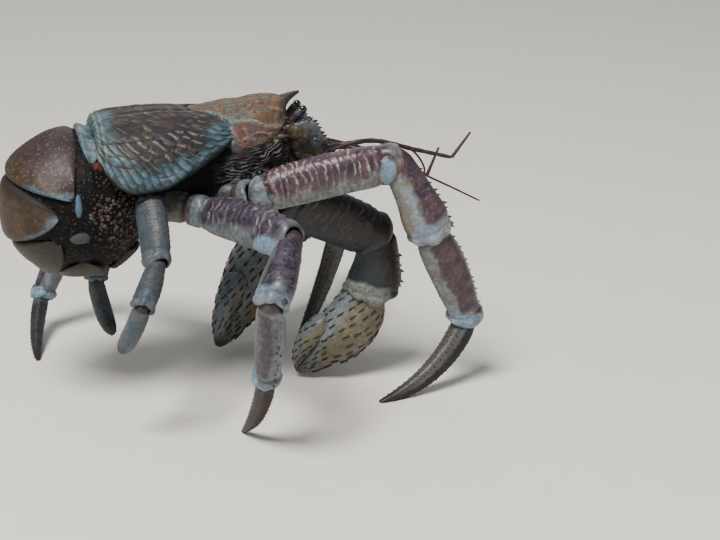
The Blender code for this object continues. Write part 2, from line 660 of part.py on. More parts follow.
def make_plate(name, first, last, reach, finish, rise=PLATE_RISE):
    """A curved plate of the abdomen, rounded at its side ends."""
    across = PLATE_ACROSS
    along = max(2, round((last - first) / PLATE_FACET))
    bm = bmesh.new()
    layers = []
    for height in (rise, -PLATE_SINK):
        rows = []
        for i in range(along + 1):
            share = i / along
            row = []
            for j in range(across + 1):
                sway = 2 * j / across - 1
                narrow = (1 - abs(sway) ** 4) ** 0.5 if abs(sway) < 1 else 0.0
                turn = first + (last - first) * (0.5 + (share - 0.5) * max(narrow, 0.30))
                edge = max(abs(sway), abs(2 * share - 1)) ** 8
                lift = height * (1 - 0.45 * edge) if height > 0 else height
                row.append(bm.verts.new(abdomen_point(turn, reach * sway, lift)))
            rows.append(row)
        layers.append(rows)
    top, bottom = layers
    for i in range(along):
        for j in range(across):
            bm.faces.new((top[i][j], top[i + 1][j], top[i + 1][j + 1], top[i][j + 1]))
            bm.faces.new((bottom[i][j], bottom[i][j + 1], bottom[i + 1][j + 1], bottom[i + 1][j]))
    rim_top = rim_of(top)
    rim_bottom = rim_of(bottom)
    for i in range(len(rim_top)):
        j = (i + 1) % len(rim_top)
        bm.faces.new((rim_top[i], rim_top[j], rim_bottom[j], rim_bottom[i]))
    return make_object(name, bm, finish)


def rim_of(rows):
    """The border of a grid of vertices, in order."""
    right = [row[-1] for row in rows[1:-1]]
    left = [row[0] for row in rows[1:-1]]
    return rows[0] + right + rows[-1][::-1] + left[::-1]


def make_abdomen():
    """The soft bag of the abdomen with its side knobs, and the plates over it."""
    rings = []
    for lean in ABDOMEN_LEANS:
        rings.append([abdomen_point(360 * i / BODY_SIDES, lean) for i in range(BODY_SIDES)])
    poles = (abdomen_point(0, -90), abdomen_point(0, 90))
    bag = loft("abdomen", rings, poles, "flesh")
    knobs = []
    for side in (-1, 1):
        for turn, lean, size in SIDE_KNOBS:
            place = abdomen_point(turn, side * lean, -0.5 * MM)
            knobs.append(knob(place, Vector((0.6, 0.5, 1.0)) * size * MM))
    fuse(bag, knobs)
    plates = []
    for number, (first, last, reach) in enumerate(TERGITES, start=1):
        finish = "shell_blue" if number == 1 else "shell_purple"
        plates.append(make_plate(f"tergite_{number}", first, last, reach, finish))
    plates.append(make_plate("tail_plate", *TAIL_PLATE, "shell_purple", PLATE_RISE * 1.5))
    for plate in plates:
        carve(bag, plate)
    for front, rear in zip(plates, plates[1:]):
        carve(rear, front)
    return bag, plates


def make_head():
    """Eyes on their stalks, antennae, antennules and mouthparts."""
    pieces = {}
    for side, sign in (("right", -1), ("left", 1)):
        ahead = direction(EYE.heading * sign, EYE.pitch)
        start = vector((EYE.x, EYE.y * sign, EYE.z))
        end = start + ahead * EYE.length * MM
        stalk_size = Sizes(depth=EYE.depth, width=EYE.width, finish="horn_dark",
                           outline=EYESTALK_OUTLINE)
        stalk = limb_piece(f"eyestalk_{side}", start, end, Vector((0, 0, 1)), stalk_size)
        eye = knob(end, Vector(EYE.radii) * MM)
        eye.name = f"eye_{side}"
        eye.data.materials.clear()
        eye.data.materials.append(bpy.data.materials.get("eye") or make_material("eye"))
        carve(stalk, eye)
        base = make_antenna_base(side, sign)
        whip = feeler(f"antenna_whip_{side}", WHIP_ROUTES[side], WHIP_THICK)
        carve(base, whip)
        stem = feeler(f"antennule_stem_{side}", STEM_ROUTES[side], STEM_THICK)
        end_route = (STEM_ROUTES[side][-1], ANTENNULE_ENDS[side])
        tip = feeler(f"antennule_tip_{side}", end_route, ANTENNULE_TIP_THICK)
        carve(tip, stem)
        pieces[side] = (stalk, eye, base, whip, stem, tip)
    pieces["mouth"] = make_mouthparts()
    return pieces


def make_antenna_base(side, sign):
    """The stout jointed base of an antenna, with its pointed scale on the outer side."""
    x, y, z = ANTENNA_BASE.start
    start = vector((x, y * sign, z))
    x, y, z = ANTENNA_BASE.end
    end = vector((x, y * sign, z))
    size = Sizes(depth=ANTENNA_BASE.depth, width=ANTENNA_BASE.width, finish="horn_dark",
                 outline=ANTENNA_OUTLINE)
    base = limb_piece(f"antenna_base_{side}", start, end, Vector((0, 0, 1)), size)
    ahead = (end - start).normalized()
    outward = Vector((0, sign, 1))
    aim = (ahead + outward * ANTENNA_SCALE.lean).normalized()
    place = start.lerp(end, ANTENNA_SCALE.spot) + outward * ANTENNA_SCALE.out * MM
    return fuse(base, [spine(place, aim, ANTENNA_SCALE.length * MM, ANTENNA_SCALE.radius * MM)])


def make_mouthparts():
    """The two leg-like mouth limbs that hang under the head, joined at their roots."""
    limbs = []
    for sign in (-1, 1):
        start = vector((MOUTH.x - 8, sign * MOUTH.spread * 0.6, MOUTH.z))
        knee = vector((MOUTH.x + MOUTH.reach * 0.6, sign * MOUTH.spread, MOUTH.z + 2))
        end = vector((MOUTH.x + MOUTH.reach * 0.55, sign * MOUTH.spread * 0.8, MOUTH.z - MOUTH.drop))
        size = Sizes(depth=MOUTH.depth, width=MOUTH.width, outline=MERUS_OUTLINE, finish="horn_dark")
        thin = Sizes(depth=MOUTH.depth * MOUTH.thin, width=MOUTH.width * MOUTH.thin,
                     outline=DACTYL_OUTLINE, finish="horn_dark")
        limbs.append(limb_piece("mouth_limb", start, knee, Vector((0, 0, 1)), size))
        limbs.append(limb_piece("mouth_tip", knee, end, Vector((1, 0, 0)), thin))
    root_size = Sizes(depth=MOUTH.root_depth, width=MOUTH.root_width, outline=HIP_OUTLINE,
                      finish="horn_dark")
    back = vector((MOUTH.x - MOUTH.root_back, 0, MOUTH.z))
    front = vector((MOUTH.x + MOUTH.root_ahead, 0, MOUTH.z))
    root = limb_piece("mouthparts", back, front, Vector((0, 0, 1)), root_size)
    return fuse(root, limbs)


def centre_on_origin():
    """Move the whole crab so that the origin is under the middle of its box."""
    corners = [v.co for piece in bpy.context.scene.objects for v in piece.data.vertices]
    middle_x = (min(c.x for c in corners) + max(c.x for c in corners)) / 2
    middle_y = (min(c.y for c in corners) + max(c.y for c in corners)) / 2
    shift = Matrix.Translation((-middle_x, -middle_y, 0))
    for piece in bpy.context.scene.objects:
        piece.data.transform(shift)


def build_crab():
    for old in list(bpy.data.objects):
        bpy.data.objects.remove(old)
    rear, shield = make_carapace()
    thorax = loft("thorax", body_rings(THORAX, 2.2, 2.2), body_poles(THORAX, 3.0), "flesh")
    carve(thorax, rear)
    carve(thorax, shield)
    bag, plates = make_abdomen()
    for piece in plates + [bag]:
        carve(piece, rear)
        carve(piece, thorax)
    head = make_head()
    for side in ("right", "left"):
        stalk, eye, base, whip, stem, tip = head[side]
        for piece in (stalk, base, stem):
            carve(piece, shield)
            carve(piece, thorax)
        carve(base, stalk)
        carve(stem, stalk)
        carve(stem, base)
    carve(head["mouth"], thorax)
    limbs = {}
    for name, limb in LIMBS.items():
        limbs[name] = make_walker(name, limb)
    for name, claw in CLAWS.items():
        limbs[name] = make_claw(name, claw)
    for pieces in limbs.values():
        carve(pieces[0], thorax)
        carve(pieces[0], rear)
    for piece in bpy.context.scene.objects:
        merge_flats(piece)
    centre_on_origin()


build_crab()
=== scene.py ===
"""Coconut crab (Birgus latro): the finish of a still, life-size museum model.

Every shell piece is a fine skin over the same places and sizes as the solids.  Its relief is
worked out in millimetres along and round the piece, and the same places drive the masks that its
material reads.
"""
from functools import reduce
from itertools import product
from math import cos, pi, radians, sin
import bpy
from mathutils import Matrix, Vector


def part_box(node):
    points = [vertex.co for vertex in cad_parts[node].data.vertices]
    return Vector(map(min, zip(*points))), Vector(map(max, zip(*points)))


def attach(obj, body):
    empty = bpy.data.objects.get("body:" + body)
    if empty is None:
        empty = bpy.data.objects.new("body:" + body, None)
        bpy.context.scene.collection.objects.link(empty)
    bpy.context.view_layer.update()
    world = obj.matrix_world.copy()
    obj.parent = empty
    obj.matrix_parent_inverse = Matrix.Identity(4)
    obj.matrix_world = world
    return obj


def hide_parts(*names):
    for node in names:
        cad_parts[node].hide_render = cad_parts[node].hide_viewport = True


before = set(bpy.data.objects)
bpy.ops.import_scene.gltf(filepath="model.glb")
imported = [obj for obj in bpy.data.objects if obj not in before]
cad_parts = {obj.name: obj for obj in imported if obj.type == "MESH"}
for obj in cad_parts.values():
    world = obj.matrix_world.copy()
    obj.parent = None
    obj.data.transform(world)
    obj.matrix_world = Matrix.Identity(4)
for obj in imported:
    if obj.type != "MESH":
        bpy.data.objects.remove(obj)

from types import SimpleNamespace as Sizes

import bpy
import numpy as np
from mathutils import Vector

bl_info = {
    "name": "Coconut crab",
    "version": (1, 0, 0),
    "blender": (4, 5, 0),
    "location": "3D View > Sidebar > Crab",
    "description": "Builds the finished skin of a still, life-size coconut crab",
    "category": "Object",
}

MM = 0.001
AHEAD = Vector((1, 0, 0))
UP = Vector((0, 0, 1))
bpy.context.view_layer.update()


def linear(red, green, blue):
    """A colour of the screen, from 0 to 255, in linear light."""
    return tuple((value / 255) ** 2.2 for value in (red, green, blue))


def shade(name, description, *screen):
    return bpy.props.FloatVectorProperty(name=name, description=description, subtype="COLOR", size=3,
                                         min=0.0, max=1.0, default=linear(*screen))


def span(name, description, default):
    return bpy.props.FloatProperty(name=name, description=description, default=default * MM, min=0.0,
                                   unit="LENGTH", subtype="DISTANCE")


class CrabSizes(bpy.types.PropertyGroup):
    """Heights and spacings of the relief."""
    grain: span("Grain", "Spacing of the points of a skin", 0.75)
    scale_row: span("Scale row", "Spacing of the rows of scales on the legs", 5.2)
    scale_height: span("Scale height", "Height of the scales on the legs", 0.85)
    lobe_height: span("Lobe scales", "Height of the scales on the gill lobes", 0.9)
    wart_size: span("Warts", "Spacing of the warts on the abdomen", 3.4)
    wart_height: span("Wart height", "Height of the warts", 1.0)
    tooth: span("Teeth", "Length of the small teeth on the upper edges", 1.9)
    bristle: span("Bristles", "Length of the bristles on the palms", 2.6)
    plate_lift: span("Plate lift", "How far a plate's rear edge stands over the next", 2.0)


class CrabColours(bpy.types.PropertyGroup):
    """Colours of the finishes."""
    plum: shade("Plum", "Upper side of the legs", 80, 61, 66)
    violet: shade("Violet", "Upper side of walking legs 3", 66, 59, 71)
    plum_dark: shade("Dark plum", "Mottling of the legs", 50, 42, 53)
    wine: shade("Wine", "Reddish patches of the legs and the shield", 88, 60, 52)
    blue_grey: shade("Blue grey", "Lower side of the legs", 112, 122, 128)
    grey: shade("Grey", "Mottling of the lower side", 97, 94, 88)
    bright_blue: shade("Bright blue", "Hinge knobs and rims", 104, 134, 156)
    ridge: shade("Ridge", "Pale crests of the scales", 176, 166, 166)
    membrane: shade("Membrane", "Skin in the joints", 100, 62, 40)
    pit: shade("Pit", "Pits and small dots", 22, 20, 24)
    lobe: shade("Lobe", "Top of the gill lobes", 30, 26, 33)
    rust: shade("Rust", "Brown of the antenna roots", 84, 66, 52)
    turquoise: shade("Turquoise", "Margins of the gill lobes", 61, 87, 96)
    lobe_ridge: shade("Lobe ridge", "Pale crests on the gill lobes", 146, 154, 136)
    shield: shade("Shield", "Top of the front shield", 90, 67, 49)
    olive: shade("Olive", "Greenish mottling of the shield", 104, 104, 76)
    tergite: shade("Tergite", "Second plate of the abdomen", 51, 39, 40)
    brown: shade("Brown", "Rear plates of the abdomen", 62, 48, 33)
    dot: shade("Dot", "Pale dots of the plates", 170, 146, 130)
    # Flesh is near black: the skin's own dark colour with painted shade of the body's underside in it.
    flesh: shade("Flesh", "Skin of the abdomen and body", 11, 9, 9)
    wart: shade("Wart", "Pale warts of the skin", 106, 80, 66)
    cream: shade("Cream", "Palms of the pincers", 113, 108, 88)
    palm_grey: shade("Palm grey", "Mottling of the palms", 88, 93, 88)
    horn: shade("Horn", "Tips of the legs", 82, 84, 82)
    horn_dark: shade("Dark horn", "Tips and spines", 34, 26, 26)
    feeler: shade("Feeler", "Feelers", 46, 28, 24)
    eye: shade("Eye", "Eyes", 16, 12, 14)
    bristle: shade("Bristle", "Bristles", 40, 34, 31)
    floor: shade("Floor", "Floor", 226, 222, 214)


# Numbers of a lattice, noise and scattered spots

def hashed(cell, seed=0):
    """A fixed random number from 0 to 1 for each whole-numbered cell."""
    cell = cell.astype(np.int64)
    with np.errstate(over="ignore"):
        number = cell[..., 0] * 374761393 + cell[..., 1] * 668265263 + cell[..., 2] * 1440662683
        number = (number + seed * 974634777) & 0xFFFFFFFF
        number = ((number ^ (number >> 13)) * 1274126177) & 0xFFFFFFFF
        number = ((number ^ (number >> 15)) * 2246822519) & 0xFFFFFFFF
    return (number ^ (number >> 16)) / 0xFFFFFFFF


def chance(*key, seed=0):
    """A fixed random number from 0 to 1 for a few whole numbers."""
    return hashed(np.array(key), seed)


def smooth(low, high, value):
    """A soft step from 0 at low to 1 at high."""
    share = np.clip((value - low) / (high - low), 0.0, 1.0)
    return share * share * (3 - 2 * share)


def bell(away, wide):
    """A soft bump: 1 at no distance, and almost 0 from twice its width on."""
    return np.exp(-(away / wide) ** 2)


def most(*values):
    """The largest of several values at each place."""
    return reduce(np.maximum, values)


def noise(points, size, seed=0):
    """Soft noise from 0 to 1, with features about one size apart."""
    place = points / size
    base = np.floor(place)
    soft = place - base
    soft = soft * soft * (3 - 2 * soft)
    total = 0.0
    for corner in product((0, 1), repeat=3):
        weight = np.prod(np.where(corner, soft, 1 - soft), axis=-1)
        total = total + weight * hashed(base + corner, seed)
    return total


def fractal(points, size, seed=0, octaves=3):
    """Noise with finer noise on it, about 0 to 1."""
    total = 0.0
    weight = 0.5
    for octave in range(octaves):
        total = total + weight * noise(points, size / 2 ** octave, seed + octave)
        weight /= 2
    return total / (1 - 0.5 ** octaves)


def spots(points, size, seed=0):
    """Scattered spots: distance to the nearest and second nearest in sizes, and its number."""
    place = points / size
    base = np.floor(place)
    nearest = np.full(points.shape[:-1], 9.0)
    second = nearest.copy()
    number = np.zeros_like(nearest)
    for step in product((-1, 0, 1), repeat=3):
        cell = base + step
        jitter = np.stack([hashed(cell, seed + k) for k in range(3)], axis=-1)
        away = np.linalg.norm(cell + jitter - place, axis=-1)
        closer = away < nearest
        second = np.where(closer, nearest, np.minimum(second, away))
        number = np.where(closer, hashed(cell, seed + 7), number)
        nearest = np.where(closer, away, nearest)
    return nearest, second, number


def scale_rows(along, round_, row, width, seed, bend=0.35, wander=0.7, skew=0.0, loose=0.9):
    """Overlapping scales in millimetres along and round: height, crest and a number for each."""
    along, round_ = np.broadcast_arrays(along, round_)
    flat = np.stack((along, round_, np.zeros_like(along)), axis=-1)
    lane = round_ / width + loose * (noise(flat, 9, seed) - 0.5)
    column = np.floor(lane)
    across = 2 * (lane - column) - 1
    blank = column * 0
    start = hashed(np.stack((column, blank, blank), axis=-1), seed)
    drift = bend * across ** 2 + skew * (across / 2 + 0.5) ** 2
    place = along / row + start + drift + wander * (noise(flat, 6, seed + 1) - 0.5)
    beat = np.floor(place)
    phase = place - beat
    pick = hashed(np.stack((column, beat, blank), axis=-1), seed + 3)
    border = 1 - np.abs(across) ** 5
    height = phase ** 1.5 * (1 - smooth(0.84, 0.99, phase)) * border
    crest = smooth(0.60, 0.82, phase) * (1 - smooth(0.88, 0.98, phase)) * border
    return height, crest, pick


# Smooth lines and closed skins

def through(points, step):
    """A smooth line through rows of numbers, without overshoot, in steps of about one size."""
    points = np.asarray(points, float)
    gaps = np.linalg.norm(np.diff(points, axis=0), axis=1)
    at = np.concatenate(([0.0], np.cumsum(gaps)))
    slope = np.diff(points, axis=0) / gaps[:, None]
    before, after = slope[:-1], slope[1:]
    total = np.where(before * after > 0, before + after, 1.0)
    inner = np.where(before * after > 0, 2 * before * after / total, 0.0)
    tangent = np.vstack((slope[:1], inner, slope[-1:]))
    place = np.linspace(0, at[-1], max(3, round(at[-1] / step)) + 1)
    i = np.clip(np.searchsorted(at, place, side="right") - 1, 0, len(gaps) - 1)
    t = ((place - at[i]) / gaps[i])[:, None]
    gap = gaps[i][:, None]
    return ((2 * t ** 3 - 3 * t ** 2 + 1) * points[i] + (t ** 3 - 2 * t ** 2 + t) * gap * tangent[i]
            + (3 * t ** 2 - 2 * t ** 3) * points[i + 1] + (t ** 3 - t ** 2) * gap * tangent[i + 1])


def oval(angles, square, square_low=None):
    """Sideways and upward share of a squarish oval at each angle, 0 to the side, a quarter up."""
    power = np.where(np.sin(angles) > 0, 2 / square, 2 / (square_low or square))
    out = np.sign(np.cos(angles)) * np.abs(np.cos(angles)) ** power
    up = np.sign(np.sin(angles)) * np.abs(np.sin(angles)) ** power
    return out, up


class Skin:
    """A closed skin: rows of points round an axis, and the places that its patterns need."""

    def __init__(self, rows, along, share, up, out, round_):
        self.rows = rows
        self.along = along[:, None]
        self.share = share[:, None]
        self.up = up[None, :]
        self.out = out[None, :]
        self.round = round_[None, :]
        self.masks = {}

    def normals(self):
        ahead = np.gradient(self.rows, axis=0)
        around = np.roll(self.rows, -1, axis=1) - np.roll(self.rows, 1, axis=1)
        normal = np.cross(around, ahead)
        normal /= np.maximum(np.linalg.norm(normal, axis=-1, keepdims=True), 1e-12)
        outward = self.rows - self.rows.mean(axis=1, keepdims=True)
        middle = slice(len(self.rows) // 4, 3 * len(self.rows) // 4)
        if (normal * outward)[middle].sum() < 0:
            normal = -normal
        return normal

    def lift(self, height):
        """Move the skin out by a height in millimetres."""
        self.rows = self.rows + self.normals() * (height * MM)[..., None]

    def mask(self, **values):
        for name, value in values.items():
            value = np.clip(value, 0, 1) * np.ones(self.rows.shape[:2])
            old = self.masks.get(name)
            self.masks[name] = value if old is None else np.maximum(old, value)

    def mesh(self):
        """Points, faces and mask values."""
        count, sides = self.rows.shape[:2]
        ends = np.stack((self.rows[0].mean(axis=0), self.rows[-1].mean(axis=0)))
        points = np.vstack((self.rows.reshape(-1, 3), ends))
        i = np.arange(count - 1)[:, None] * sides
        j = np.arange(sides)[None, :]
        k = (j + 1) % sides
        quads = np.stack((i + j, i + k, i + sides + k, i + sides + j), axis=-1).reshape(-1, 4)
        last = (count - 1) * sides
        ring = np.arange(sides)
        after = (ring + 1) % sides
        first_pole = np.stack((after, ring, np.full(sides, count * sides)), axis=-1)
        last_pole = np.stack((last + ring, last + after, np.full(sides, count * sides + 1)), axis=-1)
        faces = quads.tolist() + first_pole.tolist() + last_pole.tolist()
        low, high = points[quads[:, 0]], points[quads[:, 2]]
        cross = np.cross(high - low, points[quads[:, 3]] - points[quads[:, 1]])
        middle = points.mean(axis=0)
        if ((low + high) / 2 - middle).ravel() @ cross.ravel() < 0:
            faces = [face[::-1] for face in faces]
        values = {}
        for name, value in self.masks.items():
            tips = (value[0].mean(), value[-1].mean())
            values[name] = np.concatenate((value.ravel(), tips))
        return points, faces, values


def make_piece(name, parts, finish, slot, *nodes):
    """One object from closed parts, with the finish of that name, which stands for its nodes."""
    points = []
    faces = []
    names = sorted({mask for part in parts for mask in part[2]})
    masks = {mask: [] for mask in names}
    start = 0
    for part_points, part_faces, values in parts:
        points.append(part_points)
        faces += [[start + corner for corner in face] for face in part_faces]
        for mask in names:
            masks[mask].append(values.get(mask, np.zeros(len(part_points))))
        start += len(part_points)
    mesh = bpy.data.meshes.new(name)
    points = np.vstack(points)
    points[:, 2] = np.maximum(points[:, 2], 0.0)
    mesh.from_pydata(points.tolist(), [], faces)
    for mask in names:
        layer = mesh.attributes.new(mask, "FLOAT", "POINT")
        layer.data.foreach_set("value", np.concatenate(masks[mask]).astype(np.float32))
    mesh.shade_smooth()
    mesh.materials.append(bpy.data.materials[finish])
    piece = bpy.data.objects.new(name, mesh)
    bpy.context.scene.collection.objects.link(piece)
    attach(piece, "root")
    if nodes:
        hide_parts(*nodes)
    return piece


# Heights and widths of the rings of a tooth and of a hair
TOOTH = ((-0.45, 1.15), (0.0, 1.0), (0.4, 0.72), (0.8, 0.36), (0.98, 0.12))
HAIR = ((-0.3, 1.0), (0.3, 0.9), (1.0, 0.15))


def cone(place, aim, length, radius, sides=8, rings=TOOTH, **masks):
    """A small blunt tooth or spine with its root sunk in the skin."""
    aim = aim / np.linalg.norm(aim)
    side = np.cross(aim, (0.31, 0.42, 0.85))
    side /= np.linalg.norm(side)
    other = np.cross(aim, side)
    angles = np.arange(sides) * 2 * pi / sides
    circle = np.cos(angles)[:, None] * side + np.sin(angles)[:, None] * other
    rows = [place + aim * length * high + circle * radius * wide for high, wide in rings]
    blank = np.zeros(sides)
    levels = np.array([high for high, _ in rings])
    tooth = Skin(np.array(rows), levels, levels, blank, blank, blank)
    tooth.mask(**{"tip": smooth(0.1, 0.8, tooth.share), **masks})
    return tooth.mesh()


# Materials

class Value:
    """A socket whose sums and products add Math nodes."""

    def __init__(self, tree, socket):
        self.tree = tree
        self.socket = socket

    def math(self, operation, first, second, clamp=False):
        node = add_node(self.tree, "ShaderNodeMath", {"operation": operation, "use_clamp": clamp},
                        {0: first, 1: second})
        return Value(self.tree, node.outputs[0])

    def __add__(self, other):
        return self.math("ADD", self, other)

    def __sub__(self, other):
        return self.math("SUBTRACT", self, other)

    def __rsub__(self, other):
        return self.math("SUBTRACT", other, self)

    def __mul__(self, other):
        return self.math("MULTIPLY", self, other)

    def clamped(self):
        return self.math("ADD", self, 0.0, clamp=True)

    __radd__ = __add__
    __rmul__ = __mul__


def add_node(tree, kind, settings, values):
    """A node with its settings, and its sockets set to numbers or linked."""
    node = tree.nodes.new(kind)
    for name, setting in settings.items():
        setattr(node, name, setting)
    for name, value in values.items():
        socket = node.inputs[name]
        if isinstance(value, Value):
            tree.links.new(value.socket, socket)
        elif hasattr(value, "__len__") and len(value) == 3 and socket.type == "RGBA":
            socket.default_value = (*value, 1.0)
        else:
            socket.default_value = value
    return node


class Finish:
    """A Principled material that is put together from masks, noise and colours."""

    def __init__(self, name):
        self.material = bpy.data.materials.new(name)
        self.material.use_nodes = True
        self.tree = self.material.node_tree
        self.shader = self.tree.nodes["Principled BSDF"]
        place = self.tree.nodes.new("ShaderNodeTexCoord")
        self.place = Value(self.tree, place.outputs["Object"])

    def mask(self, name):
        node = add_node(self.tree, "ShaderNodeAttribute", {"attribute_name": name}, {})
        return Value(self.tree, node.outputs["Fac"])

    def noise(self, size, detail=3.0, rough=0.55, distortion=0.0):
        node = add_node(self.tree, "ShaderNodeTexNoise", {}, {
            "Vector": self.place, "Scale": 1 / (size * MM), "Detail": detail, "Roughness": rough,
            "Distortion": distortion})
        return Value(self.tree, node.outputs["Fac"])

    def cells(self, size):
        node = add_node(self.tree, "ShaderNodeTexVoronoi", {}, {
            "Vector": self.place, "Scale": 1 / (size * MM)})
        return Value(self.tree, node.outputs["Distance"])

    def between(self, value, low, high):
        """A soft step of a value, from 0 at low to 1 at high."""
        node = add_node(self.tree, "ShaderNodeMapRange", {"interpolation_type": "SMOOTHSTEP"}, {
            "Value": value, "From Min": low, "From Max": high, "To Min": 0.0, "To Max": 1.0})
        return Value(self.tree, node.outputs["Result"])

    def mix(self, factor, first, second, blend="MIX"):
        node = add_node(self.tree, "ShaderNodeMix", {"data_type": "RGBA", "blend_type": blend},
                        {"Factor": factor})
        for socket, colour in ((node.inputs[6], first), (node.inputs[7], second)):
            if isinstance(colour, Value):
                self.tree.links.new(colour.socket, socket)
            else:
                socket.default_value = (*colour, 1.0)
        return Value(self.tree, node.outputs[2])

    def grey(self, value):
        """A value as a grey colour."""
        node = add_node(self.tree, "ShaderNodeCombineColor", {}, {0: value, 1: value, 2: value})
        return Value(self.tree, node.outputs[0])

    def done(self, colour, roughness, height=None, depth=0.3, **constants):
        links = self.tree.links
        links.new(colour.socket, self.shader.inputs["Base Color"])
        links.new(roughness.socket, self.shader.inputs["Roughness"])
        if height is not None:
            bump = add_node(self.tree, "ShaderNodeBump", {}, {
                "Height": height, "Strength": 1.0, "Distance": depth * MM})
            links.new(bump.outputs["Normal"], self.shader.inputs["Normal"])
        for name, value in constants.items():
            self.shader.inputs[name.replace("_", " ")].default_value = value
        return self.material


def colours():
    return bpy.context.scene.crab_colours


def sizes():
    return bpy.context.scene.crab_sizes


def tinted(colour, factor):
    """A colour made lighter or darker."""
    return tuple(min(value * factor, 1.0) for value in colour)


def paint(name, factor):
    """A colour of the panel, made lighter or darker."""
    return tinted(getattr(colours(), name), factor)


# Each colour of a shell is one of the panel and how much lighter or darker it is: the upper side and its
# mottling, the lower side and its mottling, the knobs, the crests, the joints and the blush between the
# sides.  Then come the size of the mottling in millimetres, the roughness and the depth of the grain.
PLATE = dict(blue=("bright_blue", 0.55), crest=("dot", 1.0), patch=16.0, gloss=0.56, grain=0.10)
SHELLS = {
    "leg_shell": dict(main=("plum", 1.0), mottle=("plum_dark", 1.0), cool=("blue_grey", 1.15),
                      cool_mottle=("grey", 1.15), blue=("bright_blue", 1.05), crest=("ridge", 1.15),
                      blush=("wine", 1.0)),
    "leg_shell_dark": dict(main=("violet", 1.0), mottle=("plum_dark", 0.80), cool=("blue_grey", 0.74),
                           cool_mottle=("blue_grey", 0.46), blue=("bright_blue", 1.05),
                           crest=("ridge", 0.74), blush=("blue_grey", 0.46)),
    "rear_leg_shell": dict(main=("plum", 0.5), mottle=("wine", 0.4), cool=("blue_grey", 0.38),
                           cool_mottle=("bright_blue", 0.24), blue=("blue_grey", 0.65),
                           crest=("lobe_ridge", 0.35), joint=("membrane", 0.5), gloss=0.56),
    # The pincer limbs are a much darker copy of the leg colours: painted shade under the body and the second
    # legs.
    "arm_shell": dict(main=("plum", 0.24), mottle=("lobe", 0.5), cool=("turquoise", 0.24),
                      cool_mottle=("blue_grey", 0.10), blue=("palm_grey", 1.6), crest=("ridge", 0.22),
                      joint=("membrane", 0.4), blush=("wine", 0.25), gloss=0.46),
    "palm_shell": dict(main=("cream", 1.0), mottle=("cream", 0.72), cool=("palm_grey", 1.0),
                       cool_mottle=("blue_grey", 0.8), blue=("blue_grey", 1.0), crest=("cream", 1.15),
                       joint=("membrane", 0.3), patch=14.0, grain=0.08),
    "tip_shell": dict(main=("grey", 0.60), mottle=("horn", 0.7), cool=("horn", 0.30),
                      cool_mottle=("plum_dark", 0.6), blue=("blue_grey", 0.8), crest=("blue_grey", 1.0),
                      joint=("membrane", 0.35), gloss=0.46, grain=0.10),
    "hip_shell": dict(main=("blue_grey", 0.6), mottle=("olive", 0.5), cool=("grey", 0.45),
                      cool_mottle=("plum_dark", 1.0), blue=("blue_grey", 0.7), crest=("lobe_ridge", 0.7)),
    "lobe_shell": dict(main=("lobe", 1.0), mottle=("rust", 0.62), cool=("turquoise", 1.0),
                       cool_mottle=("turquoise", 0.45), blue=("bright_blue", 0.58),
                       crest=("lobe_ridge", 0.90), patch=6.0, gloss=0.50, mottled=0.58),
    "shield_shell": dict(main=("shield", 1.0), mottle=("grey", 0.66), cool=("wine", 1.25),
                         cool_mottle=("plum", 1.2), blue=("turquoise", 1.2), crest=("lobe_ridge", 0.85),
                         joint=("olive", 1.0), blush=("plum", 0.9), patch=11.0, gloss=0.46, grain=0.25,
                         mottled=0.52),
    "head_shell": dict(main=("rust", 0.5), mottle=("olive", 0.35), cool=("blue_grey", 0.30),
                       cool_mottle=("plum_dark", 0.6), blue=("blue_grey", 0.45), crest=("ridge", 0.5),
                       joint=("wine", 0.8), patch=4.0, grain=0.16),
    "plate_blue": dict(main=("lobe", 1.0), mottle=("lobe", 1.5), cool=("blue_grey", 0.95),
                       cool_mottle=("turquoise", 0.9), **PLATE),
    "plate_plum": dict(main=("tergite", 1.0), mottle=("tergite", 0.6), cool=("brown", 1.0),
                       cool_mottle=("brown", 0.6), **PLATE),
    "plate_brown": dict(main=("brown", 1.0), mottle=("brown", 0.5), cool=("brown", 1.0),
                        cool_mottle=("brown", 0.6), **PLATE),
    # The hind plates are a darker copy of the brown plates: painted shade at the rear of the abdomen.
    "plate_dark": dict(main=("brown", 0.40), mottle=("brown", 0.2), cool=("brown", 0.4),
                       cool_mottle=("brown", 0.3), **PLATE),
}


